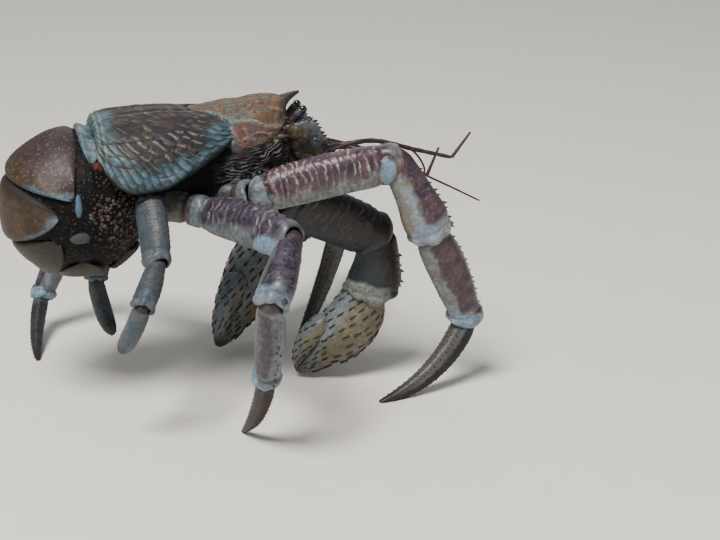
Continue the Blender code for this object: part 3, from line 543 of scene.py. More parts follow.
def shell_finish(name, main, mottle, cool, cool_mottle, blue, crest, joint=("membrane", 1.0), blush=None,
                 patch=9.0, gloss=0.38, grain=0.14, mottled=0.50):
    """Chitin: main colour over a cool one, with crests, joints, pits and dark tips by mask."""
    look = Finish(name)
    main, mottle, cool, cool_mottle, blue, crest, joint = (
        paint(*pair) for pair in (main, mottle, cool, cool_mottle, blue, crest, joint))
    broad = look.between(look.noise(patch, detail=4.0, rough=0.6, distortion=0.6), mottled - 0.12,
                         mottled + 0.14)
    fine = look.noise(1.6, detail=4.0, rough=0.6)
    streak = look.noise(3.6, detail=3.0, rough=0.55, distortion=1.2)
    wash = look.between(look.noise(11.0, detail=2.0, rough=0.5, distortion=0.8), 0.40, 0.62)
    upper = look.mix(broad, main, mottle)
    lower = look.mix(wash, cool, cool_mottle)
    lower = look.mix(look.between(streak, 0.50, 0.70) * 0.35, lower, cool_mottle)
    warm = look.between(look.mask("warm") + (streak - 0.5) * 0.35, 0.15, 0.85)
    colour = look.mix(warm, lower, upper)
    if blush:
        blush = paint(*blush)
        middle = look.between(warm, 0.10, 0.45) * (1 - look.between(warm, 0.60, 1.0))
        spread = look.between(look.noise(4.5, detail=2.0), 0.44, 0.62) * 0.5
        colour = look.mix((middle * spread).clamped(), colour, blush)
        colour = look.mix(look.between(look.noise(7.0, detail=3.0), 0.54, 0.70) * 0.45 * warm, colour, blush)
    wear = look.noise(2.6, detail=3.0, rough=0.6, distortion=0.8)
    worn_blue = look.mix(look.between(wear, 0.46, 0.68) * 0.65, blue, cool_mottle)
    colour = look.mix(look.between(look.mask("blue") + (streak - 0.5) * 0.5, 0.15, 0.90), colour, worn_blue)
    worn = look.mask("crest") * (0.45 + look.between(fine, 0.36, 0.60) * 0.55)
    colour = look.mix(worn.clamped(), colour, crest)
    colour = look.mix((look.mask("joint") * (0.6 + fine * 0.6)).clamped(), colour, joint)
    colour = look.mix((look.mask("pit") * 0.92).clamped(), colour, colours().pit)
    colour = look.mix((look.mask("tip") * 0.85).clamped(), colour, colours().horn_dark)
    speckle = look.between(look.cells(1.6), 0.12, 0.30)
    speckle = 1 - (1 - speckle) * look.between(look.noise(6.0), 0.44, 0.60) * (0.22 + warm * 0.40)
    cloud = look.between(look.noise(3.2, detail=4.0, rough=0.65, distortion=0.5), 0.40, 0.62)
    tone = look.grey((0.70 + fine * 0.56) * speckle * (0.80 + cloud * 0.25))
    colour = look.mix(1.0, colour, tone, "MULTIPLY")
    rough = gloss + (streak - 0.5) * 0.3 + look.mask("joint") * 0.2 + look.mask("pit") * 0.25
    height = fine * 0.6 + look.cells(1.1) * 0.2 + look.noise(0.6, detail=2.0) * 0.2
    return look.done(colour, rough.clamped(), height, grain, Specular_IOR_Level=0.42)


def skin_finish():
    """Dark leathery skin with pale warts and ridges; its near-black colour also holds painted shade."""
    c = colours()
    look = Finish("warty_skin")
    fine = look.noise(1.4, detail=4.0, rough=0.65)
    broad = look.between(look.noise(16.0, detail=3.0), 0.42, 0.60)
    colour = look.mix(broad, c.flesh, tinted(c.flesh, 0.4))
    wart = look.mix(look.between(look.noise(6.0), 0.40, 0.56), c.wart, tinted(c.ridge, 0.40))
    colour = look.mix(look.mask("warm"), colour, tinted(c.rust, 0.45))
    colour = look.mix((look.mask("crest") * (0.25 + fine * 0.9)).clamped(), colour, wart)
    pad = look.mix(look.between(fine, 0.4, 0.6), tinted(c.bright_blue, 0.6), tinted(c.bright_blue, 0.35))
    colour = look.mix((look.mask("blue") * 0.9).clamped(), colour, pad)
    dull = look.mix(look.between(fine, 0.3, 0.6), tinted(c.palm_grey, 0.80), tinted(c.blue_grey, 0.35))
    colour = look.mix((look.mask("tip") * 0.9).clamped(), colour, dull)
    colour = look.mix((look.mask("joint") * (0.5 + fine * 0.6)).clamped(), colour, c.membrane)
    colour = look.mix(1.0, colour, look.grey(0.65 + fine * 0.70), "MULTIPLY")
    rough = 0.60 + (fine - 0.5) * 0.4 - look.mask("tip") * 0.2
    height = fine * 0.6 + look.cells(0.8) * 0.4
    return look.done(colour, rough.clamped(), height, 0.22, Specular_IOR_Level=0.16)


def feeler_finish():
    c = colours()
    look = Finish("feeler_horn")
    fine = look.noise(2.5, detail=3.0)
    colour = look.mix(fine, c.feeler, tinted(c.feeler, 0.45))
    colour = look.mix(look.mask("crest"), colour, tinted(c.feeler, 1.6))
    return look.done(colour, 0.35 + fine * 0.3, fine, 0.1)


def eye_finish():
    c = colours()
    look = Finish("eye_glass")
    facet = look.cells(0.18)
    colour = look.mix(look.between(look.noise(2.0), 0.35, 0.65), c.eye, tinted(c.eye, 2.2))
    return look.done(colour, 0.08 + facet * 0.08, facet, 0.02, Coat_Weight=0.6, Coat_Roughness=0.05)


def bristle_finish():
    c = colours()
    look = Finish("bristle_horn")
    fine = look.noise(1.0, detail=2.0)
    return look.done(look.mix(fine, c.bristle, tinted(c.bristle, 2.5)), 0.4 + fine * 0.2)


def floor_finish():
    look = Finish("floor_board")
    fine = look.noise(30.0, detail=4.0)
    colour = look.mix(fine, colours().floor, tinted(colours().floor, 0.92))
    return look.done(colour, 0.7 + fine * 0.1, fine, 0.4)


# Places of the crab, in millimetres in its body frame: y = 0 on the midline, head along +X

SHIELD_TIP = 48
OFFSET = Vector((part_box("carapace_shield")[1].x - SHIELD_TIP * MM,
                 (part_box("carapace_rear")[0].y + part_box("carapace_rear")[1].y) / 2, 0.0))

# Outlines of limb pieces: share of the length, and shares of the half depth and the half width
MERUS = ((0.00, 0.46, 0.62), (0.05, 0.72, 0.86), (0.20, 0.94, 1.00), (0.50, 1.00, 0.98),
         (0.78, 0.98, 0.95), (0.885, 0.92, 0.90), (0.945, 0.93, 0.98), (0.985, 0.86, 0.90))
CARPUS = ((-0.10, 0.40, 0.46), (-0.05, 0.54, 0.58), (0.03, 0.66, 0.72), (0.45, 0.84, 0.96),
          (0.78, 1.00, 1.00), (0.87, 0.97, 0.95), (0.94, 0.99, 1.01), (0.985, 0.90, 0.92))
PROPODUS = ((-0.09, 0.40, 0.46), (-0.03, 0.62, 0.66), (0.08, 0.90, 0.90), (0.30, 1.00, 1.00),
            (0.65, 0.92, 0.96), (0.86, 0.84, 0.88), (0.94, 0.92, 0.97), (0.985, 0.84, 0.88))
DACTYL = ((-0.07, 0.50, 0.52), (-0.02, 0.80, 0.80), (0.10, 1.00, 1.00), (0.35, 0.88, 0.90),
          (0.60, 0.70, 0.76), (0.82, 0.48, 0.56), (0.95, 0.30, 0.38), (1.00, 0.20, 0.26))
HIP = ((-0.30, 0.80, 0.80), (0.05, 1.00, 1.00), (0.40, 0.90, 0.90), (0.52, 0.80, 0.80),
       (0.66, 0.94, 0.94), (0.92, 0.96, 0.94))
PALM = ((-0.09, 0.36, 0.40), (-0.03, 0.56, 0.62), (0.10, 0.86, 0.90), (0.32, 1.00, 1.00),
        (0.56, 0.88, 0.92), (0.72, 0.56, 0.66), (0.87, 0.36, 0.46), (0.96, 0.20, 0.28),
        (1.00, 0.09, 0.12))
HAND = ((-0.09, 0.44, 0.46), (0.00, 0.74, 0.76), (0.20, 0.96, 0.98), (0.60, 0.96, 0.96),
        (0.84, 0.78, 0.80), (0.96, 0.46, 0.50), (1.00, 0.16, 0.18))
FINGER = ((-0.06, 0.62, 0.50), (0.02, 0.95, 0.86), (0.20, 1.00, 1.00), (0.50, 0.80, 0.84),
          (0.78, 0.50, 0.56), (0.95, 0.24, 0.30), (1.00, 0.10, 0.12))
STALK = ((-0.6, 0.7, 0.8), (0.1, 1.0, 1.0), (0.45, 0.92, 0.92), (0.62, 1.0, 1.04),
         (0.86, 0.96, 1.0), (1.0, 0.75, 0.8))
BASE_JOINTS = ((-0.2, 0.8, 0.8), (0.15, 1.0, 1.0), (0.38, 0.84, 0.9), (0.42, 0.72, 0.78),
               (0.47, 0.9, 0.95), (0.68, 0.68, 0.74), (0.72, 0.54, 0.6), (0.78, 0.62, 0.66),
               (1.0, 0.36, 0.4))
BLADE = ((-0.12, 0.3, 0.6), (0.0, 0.7, 1.0), (0.20, 1.0, 1.0), (0.55, 0.72, 0.8),
         (0.85, 0.36, 0.5), (1.0, 0.10, 0.2))
# Far end of a piece that carries another: rim, lip and the cup inside, in millimetres past the end
CUP = ((0.5, 0.78), (0.4, 0.70), (-2.5, 0.60), (-6.5, 0.50), (-7.5, 0.15))


def limb_piece(name, length, depth, width, outline, lane, row=1.0, **strengths):
    """Sizes of one limb piece in millimetres, and strengths of its patterns.

    The lane is the width of a row of scales, and the row is the spacing along it, as a share of the
    usual one.  The knob over the hinge has a place and a half length along the piece, in depths, and a
    place below the middle, in half depths.  A pale end past 1 is the broad one of the pincer limbs.
    """
    usual = dict(crest=1.0, collar=0.0, knob=0.0, knob_at=0.24, knob_long=0.20, knob_low=0.25, pale=0.0,
                 hinge=0.0, warm=1.0)
    return Sizes(name=name, length=length, depth=depth, width=width, outline=outline, lane=lane, row=row,
                 **{**usual, **strengths})


WALKER_2 = (
    limb_piece("merus", 104, 31, 23, MERUS, 17, collar=0.25, knob=1.0, knob_at=0.32, knob_long=0.17,
               knob_low=0.15, pale=0.30, hinge=0.85),
    limb_piece("carpus", 60, 33, 24, CARPUS, 9, knob=0.5, pale=0.45),
    limb_piece("propodus", 80, 29, 22, PROPODUS, 8, knob=1.0, pale=0.8),
    limb_piece("dactyl", 90, 18, 15, DACTYL, 8),
)
WALKER_3 = (
    limb_piece("merus", 90, 29, 22, MERUS, 10, row=1.15, crest=0.75, collar=0.50, knob=1.0, knob_at=0.36,
               knob_long=0.58, knob_low=0.62, pale=0.15, hinge=0.2),
    limb_piece("carpus", 52, 27, 21, CARPUS, 9, knob=0.6, pale=0.40),
    limb_piece("propodus", 68, 22, 18, PROPODUS, 8, knob=0.9, pale=0.6),
    limb_piece("dactyl", 72, 13, 12, DACTYL, 8, crest=0.2),
)
WALKER_4 = (
    limb_piece("merus", 52, 23, 17, MERUS, 13, row=0.62, crest=0.35, collar=0.9, knob=0.5, pale=0.5,
               warm=0.40),
    limb_piece("carpus", 38, 19, 15, CARPUS, 8, row=0.8, knob=0.2, pale=0.10, warm=0.45),
    limb_piece("hand", 46, 14, 12, HAND, 8, row=0.8),
)
CLAW_ARM = (
    limb_piece("merus", 82, 38, 28, MERUS, 12, row=1.2, crest=0.8, collar=0.1),
    limb_piece("carpus", 44, 40, 32, CARPUS, 10, row=1.2, pale=1.3),
    limb_piece("palm", 84, 43, 33, PALM, 8, row=1.2),
)

# Rows of teeth on the edges of the pieces: how many, from and to which share of the length, and length
# as a share of the usual tooth.  Where they differ, the turn in degrees, its spread, the forward lean,
# and an offset that draws other random numbers.
LEG_TEETH = {
    "merus": (dict(count=5, low=0.55, high=0.93, length=0.8, spread=14),),
    "carpus": (dict(count=9, low=0.22, high=0.95, length=1.25, spread=12),
               dict(count=1, low=0.97, high=0.97, length=2.0, spread=0, lean=1.1),
               dict(count=6, low=0.3, high=0.9, length=0.6, offset=3, turn=52)),
    "propodus": (dict(count=13, low=0.10, high=0.92, length=0.9),
                 dict(count=8, low=0.15, high=0.9, length=0.55, offset=3, turn=-68)),
}
ARM_TEETH = {
    "carpus": (dict(count=9, low=0.2, high=0.92, length=1.4, spread=16),
               dict(count=7, low=0.25, high=0.9, length=0.9, offset=4, turn=40)),
}
# Movable finger of a pincer, in shares of the palm's length, depth and width, with the places of the
# blunt teeth under it in shares of its own length
CLAW_FINGER = Sizes(root=0.44, root_rise=0.27, tip_rise=0.06, shorter=0.01, depth=0.42, width=0.54,
                    bow=5.0, molars=(0.22, 0.36, 0.50, 0.62, 0.74))

# First numbers of the random patterns, which rise by a step with each limb
SEEDS = Sizes(legs=200, claws=600, palms=700, fingers=720, step=50)
# Root and hip in millimetres, and for each piece its heading and pitch in degrees.  A piece without a
# pitch comes down to the floor.
LIMBS = {
    "leg_2_right": Sizes(pair=WALKER_2, shell="leg_shell", root=(3, -45, 156), hip=(-12, -26, 152),
                         hip_depth=25, turns=((-5, 11), (-12, -65), (28, -62), (-164, None)), bow=11),
    "leg_2_left": Sizes(pair=WALKER_2, shell="leg_shell", root=(3, 45, 156), hip=(-12, 26, 152),
                        hip_depth=25, turns=((56, -17), (33, -15), (-98, -20), (-167, None)), bow=7),
    "leg_3_right": Sizes(pair=WALKER_3, shell="leg_shell_dark", root=(-29, -46, 147), hip=(-52, -27, 150),
                         hip_depth=24, turns=((-63, 0), (-120, -36), (85, -64), (100, None)), bow=5),
    "leg_3_left": Sizes(pair=WALKER_3, shell="leg_shell_dark", root=(-29, 46, 147), hip=(-52, 27, 150),
                        hip_depth=24, turns=((127, -13), (124, -43), (173, -64), (-98, None)), bow=5),
    "leg_4_right": Sizes(pair=WALKER_4, shell="rear_leg_shell", root=(-68, -42, 159), hip=None,
                         turns=((-91, -42), (-117, -32), (118, -55)), bow=2),
    "leg_4_left": Sizes(pair=WALKER_4, shell="rear_leg_shell", root=(-68, 42, 159), hip=None,
                        turns=((160, -69), (166, -70), (-72, -53)), bow=2),
}
CLAWS = {
    "claw_right": Sizes(scale=1.00, root=(28, -27, 146), hip=(12, -12, 146), hip_depth=31,
                        turns=((8, -25), (157, -83), (161, -49))),
    "claw_left": Sizes(scale=1.14, root=(28, 30, 146), hip=(12, 14, 146), hip_depth=34,
                       turns=((50, -26), (164, -31), (-136, -48))),
}

# Stations of the body pieces, front to back: place along, half width, and the heights of the widest
# line, the top and the underside
CARAPACE_REAR = ((-3, 20, 197, 203, 193), (-4, 27, 196, 205, 190), (-10, 34, 194, 208, 186),
                 (-22, 43, 189, 211, 179), (-40, 51, 179, 212, 170), (-58, 56, 171, 213, 164),
                 (-76, 57, 169, 212, 162), (-88, 53, 173, 211, 166), (-96, 44, 182, 209, 174),
                 (-100, 28, 192, 206, 184), (-101, 18, 194, 204, 188))
FRONT_SHIELD = ((47.5, 0.8, 218.4, 219.2, 217.6), (45, 2.0, 217.6, 218.9, 216),
                (40, 4.6, 215.6, 217.8, 212.5), (36, 8.5, 211.5, 216.6, 206),
                (34, 15, 203, 216, 194), (29, 24, 193, 217, 184), (18, 29, 189, 217, 179),
                (4, 32, 188, 215, 178), (-6, 33, 189, 213.5, 178), (-12, 26, 195, 213, 190),
                (-18, 18, 203, 213, 198), (-24, 14, 206, 212.6, 202), (-31, 8, 207, 211.8, 204),
                (-33, 3, 208, 211, 206))
THORAX = ((48, 3, 176, 180, 172), (46, 8, 176, 186, 166), (38, 19, 174, 192, 158),
          (26, 30, 174, 198, 146), (6, 36, 170, 200, 136), (-18, 34, 164, 200, 132),
          (-44, 34, 160, 196, 131), (-70, 34, 160, 194, 134), (-90, 28, 166, 192, 142),
          (-104, 18, 170, 188, 150), (-107, 6, 170, 178, 160))
# Places along and half widths of the shield's tongue, which lies on the rear carapace
TONGUE = ((-12, 21), (-20, 15), (-31, 9), (-34, 2))
# Rows of scales on the gill lobe, with spacing and width in millimetres
LOBE_SCALES = {"broad": dict(row=6.4, width=10.5, seed=21, wander=0.35, skew=0.45, loose=0.7),
               "small": dict(row=4.6, width=17, seed=25, wander=0.15, skew=0.6, loose=0.3),
               "short": dict(row=6.0, width=8.0, seed=29, wander=0.4, skew=0.5, loose=0.9)}
# Millimetres in a quarter turn round the gill lobe, and lines on it: millimetres along and round it
LOBE_ARC = 62
LOBE_CRACKS = (((-99, 44), (-88, 34), (-75, 33), (-65, 33), (-55, 36), (-47, 43)),
               ((-71, 51), (-66, 54), (-61, 58), (-53, 59)),
               ((-49, 43), (-50, 46), (-44, 51), (-38, 55), (-32, 54)), ((-87, 52), (-79, 51)),
               ((-99, 44), (-97, 52), (-92, 57), (-86, 62)))
# The same for the shield, but its lines have shares of the quarter turn in place of millimetres round it
SHIELD_ARC = 30.0
SHIELD_CRACKS = (((-10, 0.66), (-6, 0.80), (-2, 0.92)), ((2, 0.70), (4, 0.84), (10, 0.96)),
                 ((-8, 0.98), (2, 0.92), (12, 0.86), (22, 0.92)))
SHIELD_CREST = ((-13, 0.52), (-4, 0.58), (7, 0.63), (15, 0.76), (27, 0.86), (33, 0.95))
# Teeth on the left half of the shield's front edge: place and length
SHIELD_TEETH = ((30, 17, 203, 7), (29, 24, 192, 6), (32, 21, 197, 4), (32, 12, 207, 4))

ABDOMEN = Sizes(x=-112, z=151.5, radius=50.5, belly=2.5, belly_turn=250, half_width=50)
# First and last turn of each plate and its reach to the side, in degrees; 90 is straight up
TERGITES = ((66, 89, 46, "plate_blue"), (90, 157, 74, "plate_plum"), (158, 207, 71, "plate_brown"),
            (208, 250, 60, "plate_dark"), (251, 289, 46, "plate_dark"))
TAIL_PLATE = (290, 322, 26, "plate_dark")
# Strengths of the blue corners and of the pale dots of the front plates, and of all others
CORNERS = {1: 0.9, 2: 0.9, 3: 0.6}
CORNERS_BEHIND = 0.2
DOTS = {1: 0.1, 2: 0.42, 3: 0.12}
DOTS_BEHIND = 0.06
# Small pads on the side of the bag: turn, lean, size, and how narrow they are along and upwards
SIDE_PADS = ((112, 80, 5.0, 1.9, 0.6), (258, 72, 5.5, 0.8, 1.3))

# Eye and antenna base of the left side
EYE = Sizes(start=(39, 8, 198), length=13, depth=6.4, width=5.4, heading=10, pitch=44, ball=3.0,
            shape=(0.98, 0.92, 1.12))
ANTENNA_BASE = Sizes(start=(38, 14, 193), end=(70, 16, 178), depth=14, width=10, outline=BASE_JOINTS)
ANTENNA_BLADE = Sizes(start=(42, 16, 194), end=(66, 18, 176), depth=25, width=5, outline=BLADE)
ANTENNA_PALP = limb_piece("palp", 24, 12, 8, FINGER, 5, row=0.6, start=(40, 13, 179), end=(63, 15, 170))
# Spines on the base of an antenna: share of its length, turn in degrees and length
BASE_SPINES = ((0.3, 60, 3), (0.5, 100, 3), (0.62, 70, 2.4), (0.2, 120, 3), (0.5, 20, 2.5))
# Routes of the feelers: the whips of the antennae, and the stems and tips of the antennules
WHIP_ROUTES = {
    "right": ((70, -16, 179), (82, -22, 184), (95, -22, 185), (122, -22, 178), (134, -22, 164),
              (134, -22, 153)),
    "left": ((70, 16, 179), (96, 24, 170), (118, 28, 161), (134, 30, 154), (153, 30, 142),
             (172, 30, 132), (196, 31, 119)),
}
STEM_ROUTES = {
    "right": ((45, -4.5, 186), (72, -8, 180), (100, -12, 182), (128, -16, 175), (156, -20, 168)),
    "left": ((45, 4.5, 186), (74, 8, 176), (104, 14, 166), (130, 19, 155), (150, 20, 145)),
}
ANTENNULE_ENDS = {"right": (170, -20, 186), "left": (159, 20, 166)}
# Dark dashes on the palms: turn against the limb, spacing of rows, length and gap, hairs in each, the
# share that is missing, where along the piece they end, and the size of a hair's patch on the map
DASH = Sizes(turn=-24, row=7.2, length=5.0, gap=4.2, hairs=12, missing=0.12, last=0.90, patch=0.003)
# Mouth limbs of the left side, and the back and front of the piece that carries them
MOUTH = Sizes(root=(26, 4.2, 162), knee=(52, 7, 164), tip=(50.5, 5.6, 136), back=(18, 0, 162),
              front=(38, 0, 162), depth=12, width=7, hairs=60)

# The camera's place in millimetres, the side that it looks from in degrees, and its lens
CAMERA = Sizes(place=(-200.4, -1093.3, 448.9), azimuth=-15, elevation=18, lens=80)
# Width of the floor in metres
FLOOR_SIZE = 40
# Name, place from the point that the lights aim at in metres, size in metres, power in watts and colour
LIGHTS = (("key", (-1.00, -1.20, 2.50), 1.00, 160, (1.0, 0.97, 0.93)),
          ("fill", (2.4, -2.4, 1.0), 2.8, 12, (0.92, 0.96, 1.0)),
          ("back", (0.6, 2.6, 1.8), 2.4, 16, (1.0, 0.98, 0.94)))
LIGHTS_AIM = (20, 0, 100)
SKY = (0.92, 0.95, 1.0, 1.0)
SKY_STRENGTH = 0.29


def vector(point):
    """A point of the body frame in millimetres, in metres in the model's frame."""
    return Vector(point) * MM + OFFSET


def mirrored(point, sign):
    """A point that is given for the left side, or with the sign -1 its mirror image on the right."""
    x, y, z = point
    return vector((x, y * sign, z))


def direction(heading, pitch):
    """The unit vector of a heading and a pitch in degrees."""
    a = radians(heading)
    e = radians(pitch)
    return Vector((cos(a) * cos(e), sin(a) * cos(e), sin(e)))


def limb_points(limb, pieces, scale=1.0):
    """Joints of a limb, from its root to its tip."""
    points = [vector(limb.root)]
    for size, (heading, pitch) in zip(pieces, limb.turns):
        length = size.length * scale * MM
        if pitch is None:
            fall = points[-1].z
            level = (length ** 2 - fall ** 2) ** 0.5
            step = Vector((cos(radians(heading)) * level, sin(radians(heading)) * level, -fall))
        else:
            step = direction(heading, pitch) * length
        points.append(points[-1] + step)
    return points


def upper_edges(points):
    """Direction of the upper edge of each piece, on the outer side of the limb's bend."""
    ahead = points[1] - points[0]
    onward = points[-2] - points[1] if len(points) > 4 else points[-1] - points[1]
    normal = ahead.cross(onward).normalized()
    return [-normal.cross(end - start).normalized() for start, end in zip(points, points[1:])]


def limb_skin(start, end, dorsal, size, scale=1.0, bow=0.0, cup=True, lean=(0.0, 0.0)):
    """The skin of one limb piece, with a cup at its far end where it carries the next."""
    grain = sizes().grain / MM
    ahead = (end - start).normalized()
    reach = (end - start).length / MM
    dorsal = (dorsal - ahead * dorsal.dot(ahead)).normalized()
    side = np.array(ahead.cross(dorsal))
    half_depth = size.depth / 2 * scale
    half_width = size.width / 2 * scale
    first = size.outline[0]
    stations = [(first[0] * reach - 0.30 * half_depth * first[1], 0.08, 0.08)]
    stations += [(share * reach, deep, wide) for share, deep, wide in size.outline]
    if cup:
        room = min(1.0, reach / 60 * 1.2)
        stations += [(reach + past * room, wide, wide) for past, wide in CUP]
    path = through([(x, deep * half_depth, wide * half_width) for x, deep, wide in stations], grain)
    x, deep, wide = path.T
    sides = max(16, int(round(2 * pi * (half_depth + half_width) / 2 / grain / 4)) * 4)
    angles = (np.arange(sides) + 0.5) / sides * 2 * pi - pi / 2
    out, up = oval(angles, 2.3)
    inside = np.clip(x / reach, 0, 1)
    arch = 4 * inside * (1 - inside) * bow
    far = smooth(0.76, 1.0, x / reach)[:, None]
    tilt = lean[0] * (1 - smooth(0.0, 0.22, x / reach))[:, None] + lean[1] * far
    push = x[:, None] + tilt * up[None, :] * half_depth
    if cup:
        push = push + far * half_width * 0.20 * (np.abs(out[None, :]) ** 3 * 1.6 - 0.5)
    rows = (np.array(start) + np.array(ahead) * push[..., None] * MM
            + np.array(dorsal) * (arch[:, None] + deep[:, None] * up[None, :])[..., None] * MM
            + side * (wide[:, None] * out[None, :])[..., None] * MM)
    round_ = (angles + pi / 2) * (half_depth + half_width) / 2
    skin = Skin(rows, x, x / reach, up, out, round_)
    skin.ahead, skin.dorsal, skin.side = np.array(ahead), np.array(dorsal), side
    skin.turns = 2 * pi * (half_depth + half_width) / 2
    skin.reach = reach
    inner = np.zeros(len(x))
    if cup:
        past = np.argmax(x)
        inner[past:] = np.minimum(1.0, np.arange(len(x) - past) * grain / 2.0)
    skin.inner = inner[:, None]
    return skin


def spot_on(skin, share, turn):
    """Row and column of the skin's point at a share of its length and a turn in degrees."""
    i = row_at(skin, share)
    j = int(round((turn + 90) / 360 * skin.rows.shape[1] - 0.5)) % skin.rows.shape[1]
    return i, j


def row_at(skin, share):
    """Row of the outer skin at a share of its length."""
    return int(np.argmin(np.abs(skin.share[:, 0] - share) + skin.inner[:, 0]))


def near(skin, share, turn):
    """Place and normal of the skin's point at a share of its length and a turn in degrees."""
    i, j = spot_on(skin, share, turn)
    return skin.rows[i, j], skin.normals()[i, j]


def edge_teeth(skin, count, low, high, length, seed, turn=90, spread=10.0, lean=0.5):
    """A row of uneven teeth along an edge of a limb piece."""
    normals = skin.normals()
    teeth = []
    for k in range(count):
        pick = chance(k, seed, 1)
        other = chance(k, seed, 2)
        share = low + (high - low) * (k + 0.35 * (pick - 0.5)) / max(count - 1, 1)
        i, j = spot_on(skin, share, turn + spread * (other - 0.5) * 2)
        aim = normals[i, j] + skin.ahead * lean
        long = length * (0.7 + 0.6 * pick) * MM
        teeth.append(cone(skin.rows[i, j], aim, long, long * 0.42, warm=0.6, pit=0.25))
    return teeth


def tooth_row(skin, row, tooth, seed):
    """A row of teeth from the tables, with its length as a share of the usual tooth."""
    settings = {"offset": 0, **row}
    settings["seed"] = seed + settings.pop("offset")
    settings["length"] *= tooth
    return edge_teeth(skin, **settings)


def limb_basis(skin, size, seed, scale):
    """Noise, scales, dots and grit of a limb piece, which its pattern is made from."""
    points = skin.rows.copy()
    row = sizes().scale_row / MM * size.row * scale
    lanes = max(3, round(skin.turns / (size.lane * scale)))
    height, crest, pick = scale_rows(skin.along, skin.round, row, skin.turns / lanes, seed, wander=0.85,
                                     loose=1.1)
    patchy = smooth(0.34, 0.58, fractal(points, 8 * MM, seed + 7))
    cut = smooth(0.30, 0.55, fractal(points, 5 * MM, seed + 17))
    soft = fractal(points, 12 * MM, seed)
    crinkle = fractal(points, 2.6 * MM, seed + 5)
    spot, _, number = spots(points, 3.8 * MM, seed + 9)
    grit, _, grit_pick = spots(points, 2.3 * MM, seed + 13)
    return Sizes(
        points=points, seed=seed, scale=scale, soft=soft, crinkle=crinkle, patchy=patchy, height=height,
        scale_height=sizes().scale_height / MM,
        crest=crest * smooth(0.10, 0.30, pick) * (0.20 + 0.80 * patchy) * (0.25 + 0.75 * cut),
        share=skin.share, up=skin.up + 0 * skin.share, outer=1 - skin.inner,
        end=smooth(0.900, 0.93, skin.share + 0.02 * (crinkle - 0.5)),
        neck=bell(skin.share - 0.885, 0.012),
        ragged=0.5 + 0.5 * np.cos(skin.round / skin.turns * 2 * pi * 7 + 3 * soft),
        dots=(1 - smooth(0.10, 0.20, spot)) * (number > 0.45),
        grit=(1 - smooth(0.18, 0.42, grit)) * grit_pick)


def hinge_knob(skin, size, g):
    """The knob over the hinge at a piece's far end: its patch, its rise and the moat round it."""
    big = size.depth * g.scale
    away = ((skin.along - skin.reach + size.knob_at * big) / (size.knob_long * big)) ** 2
    away = away + ((g.up + size.knob_low) / 0.68) ** 2 + 1.1 * (g.soft - 0.5)
    sides = size.knob * smooth(0.2, 0.7, np.abs(skin.out))
    knob = sides * g.outer * (1 - smooth(0.55, 1.15, away))
    boss = sides * g.outer * np.sqrt(np.clip(1.1 - away, 0, 1))
    moat = sides * bell(away - 1.35, 0.35)
    return knob, boss, moat


def merus_pattern(skin, size, g):
    """Bands of scales above, a pale lower side, a collar at the root and a knob at the hinge."""
    knob, boss, moat = hinge_knob(skin, size, g)
    wobble = g.soft - 0.5
    fine = g.crinkle - 0.5
    cover = smooth(-0.75, 0.45, g.up + 1.1 * wobble + 0.5 * fine)
    strength = cover * smooth(0.10, 0.16, g.share) * (1 - smooth(0.84, 0.90, g.share))
    collar = bell(g.share - 0.105 + 0.05 * wobble + 0.02 * (g.ragged - 0.5), 0.010)
    root = (0.5 * g.grit + 0.9 * fine + 0.8 * g.ragged) * (1 - smooth(0.07, 0.12, g.share))
    relief = (g.scale_height * g.height * (0.15 + 0.75 * strength) * (1 - g.end)
              + 0.7 * wobble + 0.2 * fine + 0.12 * g.grit - 0.4 * g.neck * (1 - knob)
              - 0.9 * collar + 1.6 * boss - 0.5 * moat + 0.3 * g.end * g.ragged + root)
    warm = cover * (1 - 0.45 * smooth(0.84, 0.98, g.share + 0.2 * wobble))
    warm = warm * smooth(0.06, 0.14, g.share + 0.06 * wobble) * size.warm
    base = (1 - smooth(0.05, 0.13, g.share + 0.08 * wobble)) * (0.2 + 0.8 * g.patchy)
    blue = most(knob * (0.5 + 0.5 * g.soft), size.collar * base, size.pale * g.end * (1 - 0.6 * moat))
    crest = 0.85 * g.crest * (0.10 + 0.90 * strength) * (1 - g.end) * size.crest + 0.12 * g.end * g.ragged
    seams = (1 - smooth(0.02, 0.16, g.height)) * (1 - cover) * smooth(0.12, 0.18, g.share) * (1 - g.end)
    pit = most(g.dots * (1 - cover) * 0.6, 0.7 * collar, 0.25 * moat, 0.42 * seams * (1 - knob),
               0.45 * g.patchy * (1 - g.ragged) * (1 - smooth(0.08, 0.12, g.share)))
    flesh = size.hinge * smooth(0.925, 0.945, g.share) * (1 - smooth(-0.1, 0.35, g.up)) * (1 - knob)
    return relief, dict(warm=warm, blue=blue, crest=crest, pit=pit, joint=flesh)


